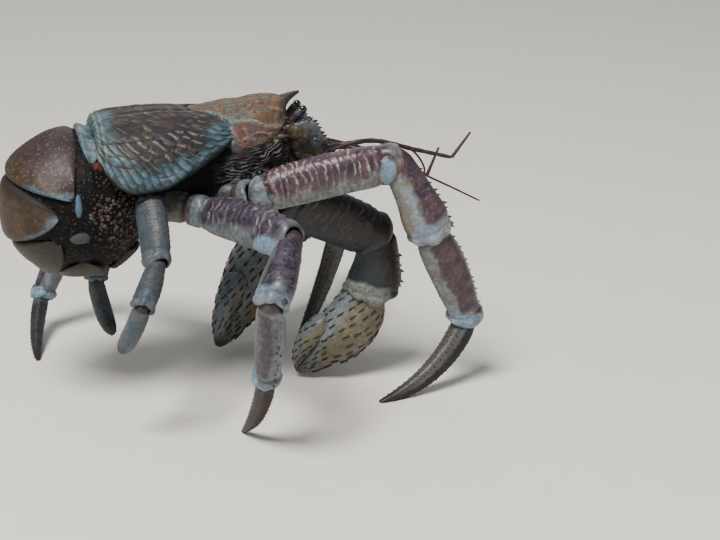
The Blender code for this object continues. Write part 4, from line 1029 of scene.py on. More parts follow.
def carpus_pattern(skin, size, g):
    """A dark upper side over a pale one, with a lobed pale end."""
    knob, boss, _ = hinge_knob(skin, size, g)
    wobble = g.soft - 0.5
    cover = smooth(-0.48, 0.26, g.up + 0.9 * wobble)
    strength = cover * smooth(0.08, 0.2, g.share) * (1 - smooth(0.80, 0.90, g.share))
    relief = (g.scale_height * 0.30 * g.height * strength + 0.9 * wobble + 0.25 * g.grit
              + 0.15 * (g.crinkle - 0.5) + smooth(0.80, 0.97, g.share) * 1.2 * (g.ragged - 0.3)
              - 0.25 * g.neck + 1.1 * boss)
    warm = cover * (1 - 0.9 * smooth(0.74, 0.92, g.share + 0.25 * wobble)) * size.warm
    pale = g.end
    if size.pale > 1:
        pale = smooth(0.68, 0.88, g.share + 0.16 * wobble) * (1 - 0.75 * smooth(0.1, 0.7, g.up))
        relief = relief + 1.6 * pale * smooth(0.3, 0.7, fractal(g.points, 9 * MM, g.seed + 15))
    crest = 0.12 * g.crest * strength + 0.25 * g.end * g.ragged + 0.2 * g.grit * cover * (g.crinkle > 0.5)
    return relief, dict(warm=warm, blue=np.maximum(pale * size.pale, knob), crest=crest,
                        pit=np.maximum(g.dots * 0.4, 0.35 * g.neck))


def propodus_pattern(skin, size, g):
    """One dark band along the outer side, pale edges and a pale end."""
    knob, boss, _ = hinge_knob(skin, size, g)
    wobble = g.soft - 0.5
    cover = smooth(-0.55, 0.10, g.up + 0.8 * wobble)
    cover = cover * (1 - 0.8 * smooth(0.70, 1.0, g.up + 0.3 * wobble))
    strength = cover * smooth(0.05, 0.15, g.share) * (1 - smooth(0.82, 0.90, g.share))
    relief = (g.scale_height * 0.08 * g.height * strength + 0.7 * wobble + 0.18 * g.grit
              + 0.12 * (g.crinkle - 0.5) + g.end * 0.6 * g.ragged - 0.7 * g.neck + 1.5 * boss)
    warm = 1.3 * cover * (1 - 0.95 * smooth(0.80, 0.90, g.share + 0.2 * wobble))
    crest = 0.04 * g.crest * strength + 0.18 * g.grit * cover * (g.crinkle > 0.45) + 0.15 * g.end * g.ragged
    pit = most(g.dots * (0.4 + 0.4 * (1 - cover)), 0.35 * g.neck,
               0.30 * cover * smooth(0.48, 0.60, fractal(g.points, 6 * MM, g.seed + 19)))
    return relief, dict(warm=warm * smooth(0.0, 0.06, g.share), blue=np.maximum(g.end * size.pale, knob),
                        crest=crest, pit=pit)


def dactyl_pattern(skin, size, g):
    """Grooves with lanes of dots, a dark outer side and a black tip."""
    turn = skin.round / skin.turns * 2 * pi
    groove = 0.5 + 0.5 * np.cos(turn * 6 + pi)
    taper = 1 - smooth(0.55, 1.0, g.share)
    relief = 0.5 * groove * taper + 0.15 * (g.crinkle - 0.5) + 0.4 * (g.soft - 0.5)
    dark = smooth(-0.30, 0.10, g.up + 0.35 * (g.crinkle - 0.5) + 0.4 * (g.soft - 0.5))
    lanes = smooth(0.70, 0.90, np.cos(turn * 6))
    beat = np.cos(skin.along / 3.4 * 2 * pi + np.round(turn / (2 * pi) * 6) * 2.1)
    pit = np.maximum(0.9 * lanes * smooth(0.30, 0.7, beat), 0.3 * g.dots)
    return relief, dict(warm=size.crest * (1.1 - 1.3 * dark), blue=0.5 * (1 - smooth(0.05, 0.25, g.share)),
                        crest=groove * 0.10 * g.patchy, pit=np.maximum(pit, 0.98 * dark * size.crest),
                        joint=0.8 * smooth(0.65, 0.95, g.up),
                        tip=smooth(0.62, 0.95, g.share + 0.1 * (g.soft - 0.5)))


def hip_pattern(skin, size, g):
    """Two short rings with a dark groove between them."""
    groove = bell(g.share - 0.52, 0.05)
    relief = 1.4 * (g.soft - 0.5) + 0.3 * (g.crinkle - 0.5) - 0.6 * groove
    return relief, dict(warm=smooth(0.35, 0.65, g.soft),
                        blue=smooth(0.66, 0.80, g.share + 0.2 * (g.soft - 0.5)), crest=0.2 * g.grit,
                        pit=np.maximum(g.dots * 0.6, 0.7 * groove),
                        joint=0.25 * smooth(0.50, 0.56, g.share) * (1 - smooth(0.62, 0.68, g.share)))


def plain_pattern(skin, size, g):
    """Soft lumps and dots, for the palp of an antenna."""
    cover = smooth(-0.9, 0.2, g.up + 0.5 * (g.soft - 0.5))
    relief = 0.15 * g.height + 0.9 * (g.soft - 0.5) + 0.3 * (g.crinkle - 0.5) + 0.2 * g.grit
    return relief, dict(warm=0.35 + 0.65 * cover * g.soft, blue=0.3 * smooth(0.7, 1.0, np.abs(g.up)),
                        crest=g.crest * 0.3 + 0.2 * g.grit, pit=g.dots * 0.9)


def finger_pattern(skin, size, g):
    """The plain pattern with fewer crests and a dark tip, for small fingers and mouth limbs."""
    relief, masks = plain_pattern(skin, size, g)
    masks.update(warm=0.5 * smooth(0.4, 0.7, g.soft), crest=0.1 * g.grit,
                 tip=smooth(0.60, 0.90, g.share + 0.2 * (g.soft - 0.5)))
    return relief, masks


PATTERNS = {"merus": merus_pattern, "carpus": carpus_pattern, "propodus": propodus_pattern,
            "dactyl": dactyl_pattern, "hip": hip_pattern, "palp": plain_pattern, "hand": finger_pattern,
            "finger": finger_pattern}


def finish_limb_skin(skin, size, seed, scale=1.0):
    """Relief and masks of one limb piece."""
    basis = limb_basis(skin, size, seed, scale)
    relief, masks = PATTERNS[size.name](skin, size, basis)
    root = 1 - smooth(-0.01, 0.03, skin.share)
    skin.lift(relief * basis.outer * (1 - 0.8 * root))
    if size.name in ("merus", "hip"):
        root = 0 * root
    # The inside of the cup and the sunk root take the pit colour: painted shade in the joint socket. The
    # root also takes some membrane colour of the joint.
    skin.mask(warm=masks["warm"], blue=masks["blue"] * basis.outer, crest=masks["crest"] * basis.outer,
              tip=masks.get("tip", 0), joint=np.maximum(0.5 * root, masks.get("joint", 0)),
              pit=most(masks["pit"] * basis.outer, skin.inner, 0.65 * root))
    return skin


def bend_lean(points, i):
    """How far the ends of piece i lean into the bends next to it."""
    def slant(k):
        before = (points[k] - points[k - 1]).normalized()
        after = (points[k + 1] - points[k]).normalized()
        return min(0.34, 0.28 * (1 - before.dot(after)) ** 0.5)
    near_end = -slant(i) * 0.4 if i > 0 else 0.0
    far_end = slant(i + 1) if i + 2 < len(points) else 0.0
    return near_end, far_end


def make_hip(name, limb, finish, slot, seed):
    """The short piece between the body and a limb."""
    start, end = vector(limb.hip), vector(limb.root)
    size = limb_piece("hip", 20, limb.hip_depth, limb.hip_depth * 0.86, HIP, 9)
    skin = limb_skin(start, end, UP, size)
    finish_limb_skin(skin, size, seed)
    return make_piece(f"{name}_hip_skin", [skin.mesh()], finish, slot, f"{name}_hip")


def make_walker(name, limb, seed):
    """The pieces of one walking leg."""
    points = limb_points(limb, limb.pair)
    edges = upper_edges(points)
    if limb.hip:
        make_hip(name, limb, "hip_shell", "shell_blue", seed)
    tooth = sizes().tooth / MM
    for i, size in enumerate(limb.pair):
        start, end = points[i], points[i + 1]
        last = i == len(limb.pair) - 1
        bow = limb.bow if last else size.length * 0.02
        is_dactyl = size.name == "dactyl"
        skin = limb_skin(start, end, edges[i], size, bow=bow, cup=not last, lean=bend_lean(points, i))
        finish_limb_skin(skin, size, seed + 10 * i)
        parts = []
        for row in LEG_TEETH.get(size.name, ()) if limb.hip else ():
            parts += tooth_row(skin, row, tooth, seed + i)
        if is_dactyl:
            for turn in (-60, 0, 60, 120, 180, 240):
                parts += edge_teeth(skin, 15, 0.14, 0.90, 1.0, seed + turn, turn=turn, spread=2, lean=0.9)
            skin.rows[..., 2] = np.maximum(skin.rows[..., 2], 0.0)
        if size.name == "hand":
            parts += [small_finger(points, edges, seed).mesh()]
        finish, slot = ("tip_shell", "horn_dark") if is_dactyl else (limb.shell, "shell_purple")
        if not limb.hip:
            slot = "shell_blue"
        make_piece(f"{name}_{size.name}_skin", [skin.mesh()] + parts, finish, slot, f"{name}_{size.name}")


def small_finger(points, edges, seed):
    """The short upper finger of the last leg's little pincer."""
    start, end, dorsal = points[-2], points[-1], edges[-1]
    root = start.lerp(end, 0.58) + dorsal * 3.4 * MM
    size = limb_piece("finger", 19, 6.0, 6.5, FINGER, 6, row=0.8)
    skin = limb_skin(root, end + dorsal * 1.2 * MM, dorsal, size, bow=1.2, cup=False)
    return finish_limb_skin(skin, size, seed)


def finish_palm(skin, scale, seed):
    """Relief and masks of a pincer's palm or finger."""
    points = skin.rows.copy()
    soft = fractal(points, 14 * MM, seed)
    crinkle = fractal(points, 2.4 * MM, seed + 5)
    turn = radians(DASH.turn)
    line = skin.along * cos(turn) + skin.round * sin(turn)
    across = skin.round * cos(turn) - skin.along * sin(turn)
    height, crest, _ = scale_rows(across, line, DASH.row * scale, 12 * scale, seed, bend=0.1, wander=0.3)
    relief = 1.2 * (soft - 0.5) + 0.15 * (crinkle - 0.5) + 0.4 * height
    slender = smooth(0.62, 0.80, skin.share)
    up = skin.up + 0 * skin.share
    edge = smooth(0.45, 0.95, up + 0.5 * (soft - 0.5))
    # The lower side takes the dark joint colour: painted shade under the pincer.
    below = smooth(0.35, 0.95, 0.5 * (soft - 0.5) - up)
    spot, _, pick = spots(points, 5.0 * MM, seed + 9)
    dark = (1 - smooth(0.08, 0.16, spot)) * (pick > 0.6)
    skin.lift(relief * (1 - 0.7 * slender) * (1 - skin.inner))
    skin.mask(warm=0.35 + 0.9 * soft - 0.4 * slender - 0.5 * edge, blue=0.7 * edge,
              crest=0.30 * crest, pit=0.8 * dark, joint=0.75 * below, tip=smooth(0.86, 1.0, skin.share))
    return skin


def make_claw(name, claw, seed):
    """The pieces of one pincer limb."""
    points = limb_points(claw, CLAW_ARM, claw.scale)
    edges = upper_edges(points)
    make_hip(name, claw, "arm_shell", "shell_purple", seed)
    tooth = sizes().tooth / MM * claw.scale
    skins = {}
    for i, size in enumerate(CLAW_ARM):
        is_palm = size.name == "palm"
        dorsal = -edges[i] if is_palm else edges[i]
        bow = -6.0 * claw.scale if is_palm else 2.0
        lean = (0.0, 0.0) if is_palm else bend_lean(points, i)
        if size.name == "carpus":
            lean = (lean[0], 0.0)
        skin = limb_skin(points[i], points[i + 1], dorsal, size, claw.scale, bow, cup=not is_palm, lean=lean)
        if is_palm:
            finish_palm(skin, claw.scale, seed + 10 * i)
        else:
            finish_limb_skin(skin, size, seed + 10 * i, claw.scale)
        parts = []
        for row in ARM_TEETH.get(size.name, ()):
            parts += tooth_row(skin, row, tooth, seed + i)
        finish, slot = ("palm_shell", "claw_pale") if is_palm else ("arm_shell", "shell_purple")
        make_piece(f"{name}_{size.name}_skin", [skin.mesh()] + parts, finish, slot, f"{name}_{size.name}")
        skins[size.name] = skin
    palm = CLAW_ARM[-1]
    start, end, dorsal = points[-2], points[-1], -edges[-1]
    lift = palm.depth * claw.scale * MM
    finger = CLAW_FINGER
    root = start.lerp(end, finger.root) + dorsal * lift * finger.root_rise
    tip = end + dorsal * lift * finger.tip_rise - (end - start) * finger.shorter
    size = Sizes(depth=palm.depth * finger.depth, width=palm.width * finger.width, outline=FINGER)
    skin = limb_skin(root, tip, dorsal, size, claw.scale, finger.bow * claw.scale, cup=False)
    finish_palm(skin, claw.scale, seed + 40)
    molars = []
    for share in finger.molars:
        place, normal = near(skin, share, -90)
        molars.append(cone(place, normal, 2.6 * claw.scale * MM, 2.2 * claw.scale * MM))
    make_piece(f"{name}_finger_skin", [skin.mesh()] + molars, "palm_shell", "claw_pale", f"{name}_finger")
    skins["finger"] = skin
    return skins


def tufts(name, skin, seed, scale):
    """Short rows of dark bristles, each lying along its row, with a patch of the map for each."""
    normals = skin.normals()
    sides = skin.rows.shape[1]
    length = sizes().bristle * scale * 0.8
    turn = radians(DASH.turn)
    parts = []
    places = []
    rows = int(skin.turns / (DASH.row * scale * cos(turn)))
    pitch = (DASH.length + DASH.gap) * scale
    spacing = skin.turns / rows
    for r, d in product(range(rows), range(int(skin.reach / pitch / cos(turn)) + 1)):
        if chance(r, d, seed, seed=3) < DASH.missing:
            continue
        begin = (d + 0.4 * (chance(r, d, seed, seed=1) - 0.5) + 0.5 * (r % 2)) * pitch
        side_step = 0.22 * (chance(r, d, seed, seed=2) - 0.5) * DASH.row * scale
        for k in range(DASH.hairs):
            step = begin + k / DASH.hairs * DASH.length * scale
            along = step * cos(turn)
            share = 0.04 + along / skin.reach
            if share > DASH.last:
                continue
            round_ = r * spacing + side_step + step * sin(turn) + 0.3 * (k % 3 - 1) * scale
            i = row_at(skin, share)
            j = int(round(round_ / skin.turns * sides)) % sides
            jitter = chance(r * DASH.hairs + k, d, seed, seed=4)
            onward = skin.rows[i, (j + 1) % sides] - skin.rows[i, j]
            onward /= np.linalg.norm(onward)
            flow = skin.ahead * cos(turn) + onward * sin(turn)
            long = length * (0.6 + 0.5 * jitter)
            parts.append(cone(skin.rows[i, j], normals[i, j] * 0.5 + flow, long, 0.44 * scale * MM, 4,
                              HAIR))
            places.append((share, (round_ / skin.turns) % 1.0))
    piece = make_piece(name, parts, "bristle_horn", "horn_dark")
    layer = piece.data.uv_layers.new(name="OFBake")
    each = len(parts[0][0])
    corner = np.zeros(len(piece.data.loops), np.int32)
    piece.data.loops.foreach_get("vertex_index", corner)
    place = np.array(places)[corner // each]
    spot = corner % each
    wide = np.stack((spot % 4, spot // 4), axis=-1) / 6 * DASH.patch
    layer.data.foreach_set("uv", (0.02 + place * 0.95 + wide).astype(np.float32).ravel())
    return piece


def body_skin(stations, square, square_low, fine, coarse):
    """The skin of a body piece from stations front to back, finer above than below."""
    grain = sizes().grain / MM
    x, half, edge, top, low = through(stations, grain).T
    upper = np.linspace(0, pi, fine, endpoint=False)
    lower = np.linspace(pi, 2 * pi, coarse, endpoint=False)
    angles = np.concatenate((upper, lower))
    out, up = oval(angles, square, square_low)
    high = np.where(up[None, :] > 0, (top - edge)[:, None], (edge - low)[:, None])
    rows = np.stack((x[:, None] + 0 * up[None, :], half[:, None] * out[None, :],
                     edge[:, None] + high * up[None, :]), axis=-1)
    skin = Skin(rows * MM + np.array(OFFSET), x, x / 100, up, out, angles * half.max())
    skin.place = rows
    skin.lean = (pi / 2 - angles[None, :]) / (pi / 2)
    skin.lean = np.where(skin.lean < -2, skin.lean + 4, skin.lean)
    return skin


def line_distance(x, y, points):
    """Distance in a plane to a line through a few points."""
    nearest = np.full(np.broadcast(x, y).shape, 1e9)
    path = through(points, 2.0)
    for (x0, y0), (x1, y1) in zip(path, path[1:]):
        dx, dy = x1 - x0, y1 - y0
        t = np.clip(((x - x0) * dx + (y - y0) * dy) / (dx * dx + dy * dy), 0, 1)
        nearest = np.minimum(nearest, np.hypot(x - x0 - t * dx, y - y0 - t * dy))
    return nearest


def make_lobes():
    """The rear carapace with its two gill lobes."""
    skin = body_skin(CARAPACE_REAR, square=2.3, square_low=3.0, fine=300, coarse=70)
    x, y, z = np.moveaxis(skin.place, -1, 0)
    lean = np.abs(skin.lean) + 0 * x
    arc = lean * LOBE_ARC
    points = skin.rows.copy()
    soft = fractal(points, 15 * MM, 3)
    crinkle = fractal(points, 2.6 * MM, 5)
    jag = 0.5 * (soft - 0.5) + 0.15 * (crinkle - 0.5)
    warp = 6 * (noise(points, 30 * MM, 11) - 0.5)
    rear_edge = np.minimum(x - CARAPACE_REAR[-1][0], 60)
    low = smooth(0.44, 0.60, lean + 0.3 * (soft - 0.5))
    forward = x * 0.88 - arc * 0.48 + warp
    down = x * 0.48 + arc * 0.88 + warp
    height, _, pick = scale_rows(-forward, down, bend=0.0, **LOBE_SCALES["broad"])
    small_height, _, small_pick = scale_rows(-forward, down, bend=0.0, **LOBE_SCALES["small"])
    short_height, _, short_pick = scale_rows(-forward, down, bend=0.0, **LOBE_SCALES["short"])
    bottom = smooth(0.74, 0.86, lean) * (1 - smooth(-46, -24, x))
    broken = 0.45 + 0.55 * smooth(0.35, 0.6, noise(points, 7 * MM, 13))
    streak = smooth(0.30, 0.85, height) * smooth(0.0, 0.30, pick)
    lines = smooth(0.35, 0.85, small_height) * (0.6 + 0.4 * small_pick)
    crest = (streak + (lines - streak) * bottom) * broken
    height = height + (0.8 * small_height - height) * bottom
    blotch = smooth(0.35, 0.80, short_height) * smooth(0.35, 0.6, short_pick) * (1 - low) * broken
    margin = bell(rear_edge - 3.0, 0.8) + 0.8 * bell(rear_edge - 6.0, 0.8)
    middle = bell(np.abs(y) - 10, 1.8) * smooth(30, 38, -x)
    inner_rim = bell(np.abs(y) - 14, 1.2) * smooth(26, 34, -x)
    crack = np.zeros_like(x)
    for line in LOBE_CRACKS:
        crack = np.maximum(crack, bell(line_distance(x, arc, line), 0.5))
    half = np.interp(-x, [-a for a, _ in TONGUE], [b for _, b in TONGUE], left=22, right=-6)
    under_tongue = (1 - smooth(-1.5, 1.5, np.abs(y) - half)) * (z > 195)
    rim = bell(lean - 0.985, 0.03)
    # The lobe's underside takes the pit colour: painted shade under the carapace.
    under = smooth(1.02, 1.10, lean)
    s = sizes()
    relief = (s.lobe_height / MM * height * (0.15 + 0.85 * low) + 0.2 * blotch + 1.8 * (soft - 0.5)
              + 0.25 * (crinkle - 0.5) + 0.7 * margin * (lean < 1.1) - 1.6 * middle + 0.6 * inner_rim
              - 0.6 * crack + 0.9 * rim)
    relief = relief * (1 - under_tongue) * (1 - 0.7 * under) - 4.5 * under_tongue
    skin.lift(relief)
    field = 1 - smooth(0.70, 0.96, lean + jag - 0.0022 * (x + 50))
    heart = 1 - smooth(0.55, 0.90, np.hypot((x + 66) / 26, (arc - 40) / 20) + jag)
    field = np.maximum(field, 0.8 * heart)
    back = 1 - smooth(6, 20, rear_edge + 14 * jag)
    tip_front = smooth(-34, -18, x + 10 * jag) * smooth(0.35, 0.6, lean)
    warm = field * (1 - 0.9 * back) * (1 - 0.8 * tip_front)
    blue = 0.7 * smooth(0.78, 0.98, lean + jag) * (1 - under) * (0.15 + 0.85 * smooth(0.35, 0.6, soft))
    blue = np.maximum(blue, 0.35 * tip_front)
    # Dark lines in the valleys between the scales: painted shade beside each crest.
    valley_shade = (1 - smooth(0.02, 0.22, height)) * low * (1 - under)
    furrow_shade = (1 - smooth(0.02, 0.20, short_height)) * (1 - low) * (1 - back)
    scar = 0.5 * bell(lean - 0.83, 0.02) * bell(x + 83, 5)
    skin.mask(warm=warm, blue=blue, joint=0.30 * blotch + scar,
              crest=(0.50 * crest * np.maximum(low, 0.5 * back) + 0.40 * blotch + 0.50 * margin
                     + 0.30 * inner_rim),
              pit=most(crack * 0.6, 0.6 * middle, 0.66 * valley_shade + 0.35 * furrow_shade, under))
    return make_piece("carapace_rear_skin", [skin.mesh()], "lobe_shell", "shell_blue", "carapace_rear")


def make_shield():
    """The front shield with the rostrum, its crest lines and front teeth."""
    skin = body_skin(FRONT_SHIELD, square=2.6, square_low=3.0, fine=220, coarse=50)
    x, y, _ = np.moveaxis(skin.place, -1, 0)
    lean = np.abs(skin.lean) + 0 * x
    points = skin.rows.copy()
    soft = fractal(points, 13 * MM, 31)
    crinkle = fractal(points, 2.2 * MM, 33)
    fold = fractal(points * np.array((0.4, 1, 1)) + 0.3 * points[..., ::-1], 4.0 * MM, 35)
    body = 1 - smooth(34, 37, x)
    arc = lean * SHIELD_ARC
    crest_line = bell(line_distance(x, arc, [(a, b * SHIELD_ARC) for a, b in SHIELD_CREST]), 1.3)
    crack = np.zeros_like(x)
    for line in SHIELD_CRACKS:
        away = line_distance(x, arc, [(a, b * SHIELD_ARC) for a, b in line])
        crack = np.maximum(crack, bell(away, 0.7))
    wall = smooth(0.64, 0.78, lean + 0.3 * (soft - 0.5)) * body
    lip = bell(lean - 1.16 + 0.004 * (x - 10), 0.05) * body * smooth(-4, 6, x)
    gutter = bell(lean - 1.06 + 0.004 * (x - 10), 0.04) * body * smooth(-4, 6, x)
    # The shield's underside takes the pit colour: painted shade under the shield.
    under = smooth(1.38, 1.5, lean)
    keel = bell(y, 3.0) * smooth(5, 30, x)
    vein = 1 - smooth(0.0, 0.05, np.abs(fold - 0.5))
    relief = (2.2 * (soft - 0.5) + 0.6 * (crinkle - 0.5) + 1.6 * (fold - 0.5) * body - 0.5 * vein * body
              + 0.9 * crest_line + 1.0 * lip - 0.8 * gutter + 0.5 * keel - 0.5 * wall
              + 0.5 * crack * (2 * wall - 1))
    skin.lift(relief * (1 - 0.7 * (x > 36)))
    green = smooth(0.90, 1.02, lean + 0.2 * (soft - 0.5)) * (1 - smooth(1.12, 1.2, lean)) * smooth(4, 18, x)
    rear = 1 - smooth(-8, 4, x + 12 * (soft - 0.5))
    pale = 0.55 * crest_line + 0.35 * lip + 0.45 * crack * wall + 0.28 * smooth(0.60, 0.72, fold)
    dark = 0.6 * crack * (1 - wall) + 0.5 * gutter
    skin.mask(warm=1 - wall * (1 - 0.5 * green), crest=pale * (0.4 + crinkle),
              joint=0.75 * green + 0.3 * gutter, blue=0.7 * smooth(0.35, 0.55, lean) * rear,
              pit=most(under, 0.35 * vein * body, dark), tip=smooth(29, 38, x))
    teeth = []
    for side in (-1, 1):
        for *place, length in SHIELD_TEETH:
            teeth.append(cone(np.array(mirrored(place, side)), np.array((1.0, side * 0.35, 0.1)),
                              length * MM, length * 0.40 * MM, warm=1.0, pit=0.45))
    return make_piece("carapace_shield_skin", [skin.mesh()] + teeth, "shield_shell", "shell_purple",
                      "carapace_shield")


def make_trunk():
    """The body under the carapace, with the corrugated cheeks."""
    skin = body_skin(THORAX, square=2.2, square_low=2.2, fine=190, coarse=100)
    x, _, z = np.moveaxis(skin.place, -1, 0)
    points = skin.rows.copy()
    soft = fractal(points, 12 * MM, 41)
    crinkle = fractal(points, 2.6 * MM, 43)
    warp = 10.0 * (fractal(points, 9 * MM, 45) - 0.5)
    slope = z - 0.16 * x + warp + 3.0 * np.sin(x / 6 + 0.5) * smooth(-10, 6, x)
    wave = 0.5 + 0.5 * np.sin(slope / 2.1 * 2 * pi)
    cheek = smooth(-24, -10, x) * smooth(148, 158, z) * (1 - smooth(30, 42, x))
    broken = smooth(0.36, 0.62, noise(points, 5 * MM, 47))
    lumps, _, pick = spots(points, 6 * MM, 49)
    lump = (1 - smooth(0.1, 0.6, lumps)) * smooth(24, 34, x)
    relief = (1.1 * wave ** 2 * cheek * (0.3 + 0.7 * broken) + 1.8 * (soft - 0.5) + 0.9 * (crinkle - 0.5)
              + 1.6 * lump)
    skin.lift(relief)
    pale = cheek * smooth(0.50, 0.95, wave) * (0.15 + 0.85 * broken)
    skin.mask(crest=0.85 * pale, blue=0.30 * pale, warm=0.35 * smooth(18, 36, x) * pick)
    return make_piece("thorax_skin", [skin.mesh()], "warty_skin", "flesh", "thorax")


def abdomen_point(turn, lean, rise):
    """Points of the abdomen's skin, in millimetres, at a rise over it."""
    a = np.radians(turn)
    b = np.radians(lean)
    bulge = ABDOMEN.belly * np.cos(np.radians(turn - ABDOMEN.belly_turn))
    radius = ABDOMEN.radius + bulge + rise
    half_width = ABDOMEN.half_width + rise
    return np.stack((ABDOMEN.x + np.cos(b) * radius * np.cos(a), half_width * np.sin(b),
                     ABDOMEN.z + np.cos(b) * radius * np.sin(a)), axis=-1)


def make_bag():
    """The soft bag of the abdomen, with warts and side pads."""
    leans = np.linspace(-88, 88, 240)
    fine = np.where(np.abs(np.arange(-71, 289) - 0.5) < 70, 1.0, 0.42)
    place = np.concatenate(([0.0], np.cumsum(fine)))
    turns = np.interp(np.arange(330) / 330 * place[-1], place, np.arange(-71, 290))
    lean, turn = np.meshgrid(leans, turns, indexing="ij")
    blank = np.zeros(len(turns))
    flat = abdomen_point(turn, lean, np.zeros_like(turn))
    points = flat * MM
    pads = []
    for at, tilt, size, thin, low in SIDE_PADS:
        pad = np.zeros_like(turn)
        for side in (-1, 1):
            middle = abdomen_point(np.array(at), np.array(side * tilt), 0.0)
            away = np.linalg.norm((flat - middle) * np.array((thin, 1, low)), axis=-1) / size
            away = away + 0.5 * (noise(points, 7 * MM, 59) - 0.5)
            pad = np.maximum(pad, np.sqrt(np.clip(1 - away ** 2, 0, 1)))
        pads.append(pad)
    pad = np.maximum(*pads)
    soft = fractal(points, 14 * MM, 51)
    crinkle = fractal(points, 3 * MM, 57)
    s = sizes()
    spot, _, number = spots(points, s.wart_size * 0.74, 53)
    front = 1 - smooth(20, 75, np.abs(turn + 8))
    radius = (0.34 + 0.20 * number) * (0.75 + 0.45 * front)
    bare = 1 - smooth(0.0, 0.3, pad)
    wart = np.sqrt(np.clip(1 - (spot / radius) ** 2, 0, 1)) * (number > 0.04) * bare
    fold = np.sin(np.radians(turn) * 9 + 3 * soft) * 0.5 * np.cos(np.radians(lean)) ** 2
    relief = (s.wart_height / MM * wart * (0.5 + 0.7 * number) + 2.0 * (soft - 0.5)
              + 0.6 * fold + 1.6 * pad - 0.4 + 0.3 * (crinkle - 0.5))
    rows = abdomen_point(turn, lean, relief) * MM + np.array(OFFSET)
    skin = Skin(rows, leans, leans, blank, blank, blank)
    flesh_spot = np.full(turn.shape, 9.0)
    for side in (-1, 1):
        middle = abdomen_point(np.array(66.0), np.array(side * 42.0), 0.0)
        flesh_spot = np.minimum(flesh_spot, np.linalg.norm((flat - middle) / np.array((8, 16, 6)), axis=-1))
    skin.mask(crest=wart ** 0.5 * (0.35 + 0.50 * number) * (0.28 + 0.66 * front),
              blue=smooth(0.05, 0.5, pads[0]), tip=0.8 * smooth(0.05, 0.6, pads[1]),
              joint=0.8 * (1 - smooth(0.5, 1.0, flesh_spot)), warm=0.35 * smooth(0.5, 0.7, soft) * front)
    return make_piece("abdomen_skin", [skin.mesh()], "warty_skin", "flesh", "abdomen")


def make_plate(name, number, first, last, reach, finish, rise=2.6, sink=2.0):
    """One curved plate of the abdomen, its rear edge standing over the next plate."""
    grain = sizes().grain / MM
    length = radians(last - first) * ABDOMEN.radius
    across = int(2 * radians(reach) * ABDOMEN.half_width / grain)
    count = max(12, int(length / grain))
    share = (np.arange(count) + 0.5) / count
    sway_top = np.linspace(-1, 1, across)
    sway_under = sway_top[::-3]
    sway = np.concatenate((sway_top, sway_under))
    top = np.concatenate((np.ones(across), np.zeros(len(sway_under))))
    share, sway = np.meshgrid(share, sway, indexing="ij")
    top = np.broadcast_to(top, sway.shape)
    narrow = np.maximum(np.sqrt(np.clip(1 - np.abs(sway) ** (4 if number < 3 else 7), 0, 1)), 0.16)
    turn = first + (last - first) * (0.5 + (share - 0.5) * narrow)
    lean = reach * sway
    middle = abdomen_point(turn, lean, np.zeros_like(turn))
    points = middle * MM
    soft = fractal(points, 18 * MM, 60 + number)
    crinkle = fractal(points, 3.0 * MM, 70 + number)
    edge = 1 - np.maximum(np.abs(sway), np.abs(2 * share - 1)) ** 9
    body = np.sqrt(np.clip(edge, 0, 1))
    spot, _, pick = spots(points, 2.1 * MM, 80 + number)
    dot = (1 - smooth(0.14, 0.32, spot)) * (pick > 0.15) * smooth(0.20, 0.50, soft + 0.3 * (1 - share))
    lift = sizes().plate_lift / MM * smooth(0.45, 1.0, share) * (number <= len(TERGITES))
    rim = bell(share - 0.955, 0.02) * narrow
    surface = rise + lift + 1.4 * (soft - 0.5) + 0.2 * (crinkle - 0.5) + 0.2 * dot - 0.4 * rim
    under = -sink + lift * 0.9
    height = np.where(top > 0.5, under + (surface - under) * body, under)
    rows = abdomen_point(turn, lean, height) * MM + np.array(OFFSET)
    blank = np.zeros(sway.shape[1])
    skin = Skin(rows, share[:, 0], share[:, 0], blank, blank, blank)
    corner = smooth(0.82, 0.98, np.abs(sway) + 0.16 * (soft - 0.5) + 0.12 * (share - 0.5))
    hem = smooth(0.78, 0.95, share + 0.1 * (soft - 0.5)) * smooth(0.35, 0.70, np.abs(sway))
    side = np.maximum(corner, hem)
    warm = top * (1 - 0.9 * smooth(0.35, 0.95, share + 0.5 * (soft - 0.5)) * (number == 2))
    # A dark wedge on the front of the third plate: painted shadow of the second plate's rear edge.
    fold = 0.85 * top * (1 - smooth(0.08, 0.34, share + 0.25 * (soft - 0.5))) * (number == 3)
    # The underside of each plate takes the pit colour: painted shade under the plate.
    skin.mask(warm=warm if number > 1 else 0.2 * top,
              blue=side * top * CORNERS.get(number, CORNERS_BEHIND),
              crest=dot * top * DOTS.get(number, DOTS_BEHIND),
              pit=np.maximum((1 - top) + 0.45 * rim * top, fold))
    slot = "shell_blue" if number == 1 else "shell_purple"
    return make_piece(f"{name}_skin", [skin.mesh()], finish, slot, name)


def route_points(points, steps):
    """Points along a smooth curve through a feeler's route."""
    route = [vector(p) for p in points]
    padded = [2 * route[0] - route[1]] + route + [2 * route[-1] - route[-2]]
    result = []
    for a, b, c, d in zip(padded, padded[1:], padded[2:], padded[3:]):
        for i in range(steps):
            t = i / steps
            result.append(0.5 * ((2 * b) + (c - a) * t + (2 * a - 5 * b + 4 * c - d) * t * t
                                 + (3 * b - a - 3 * c + d) * t ** 3))
    result.append(route[-1])
    return result


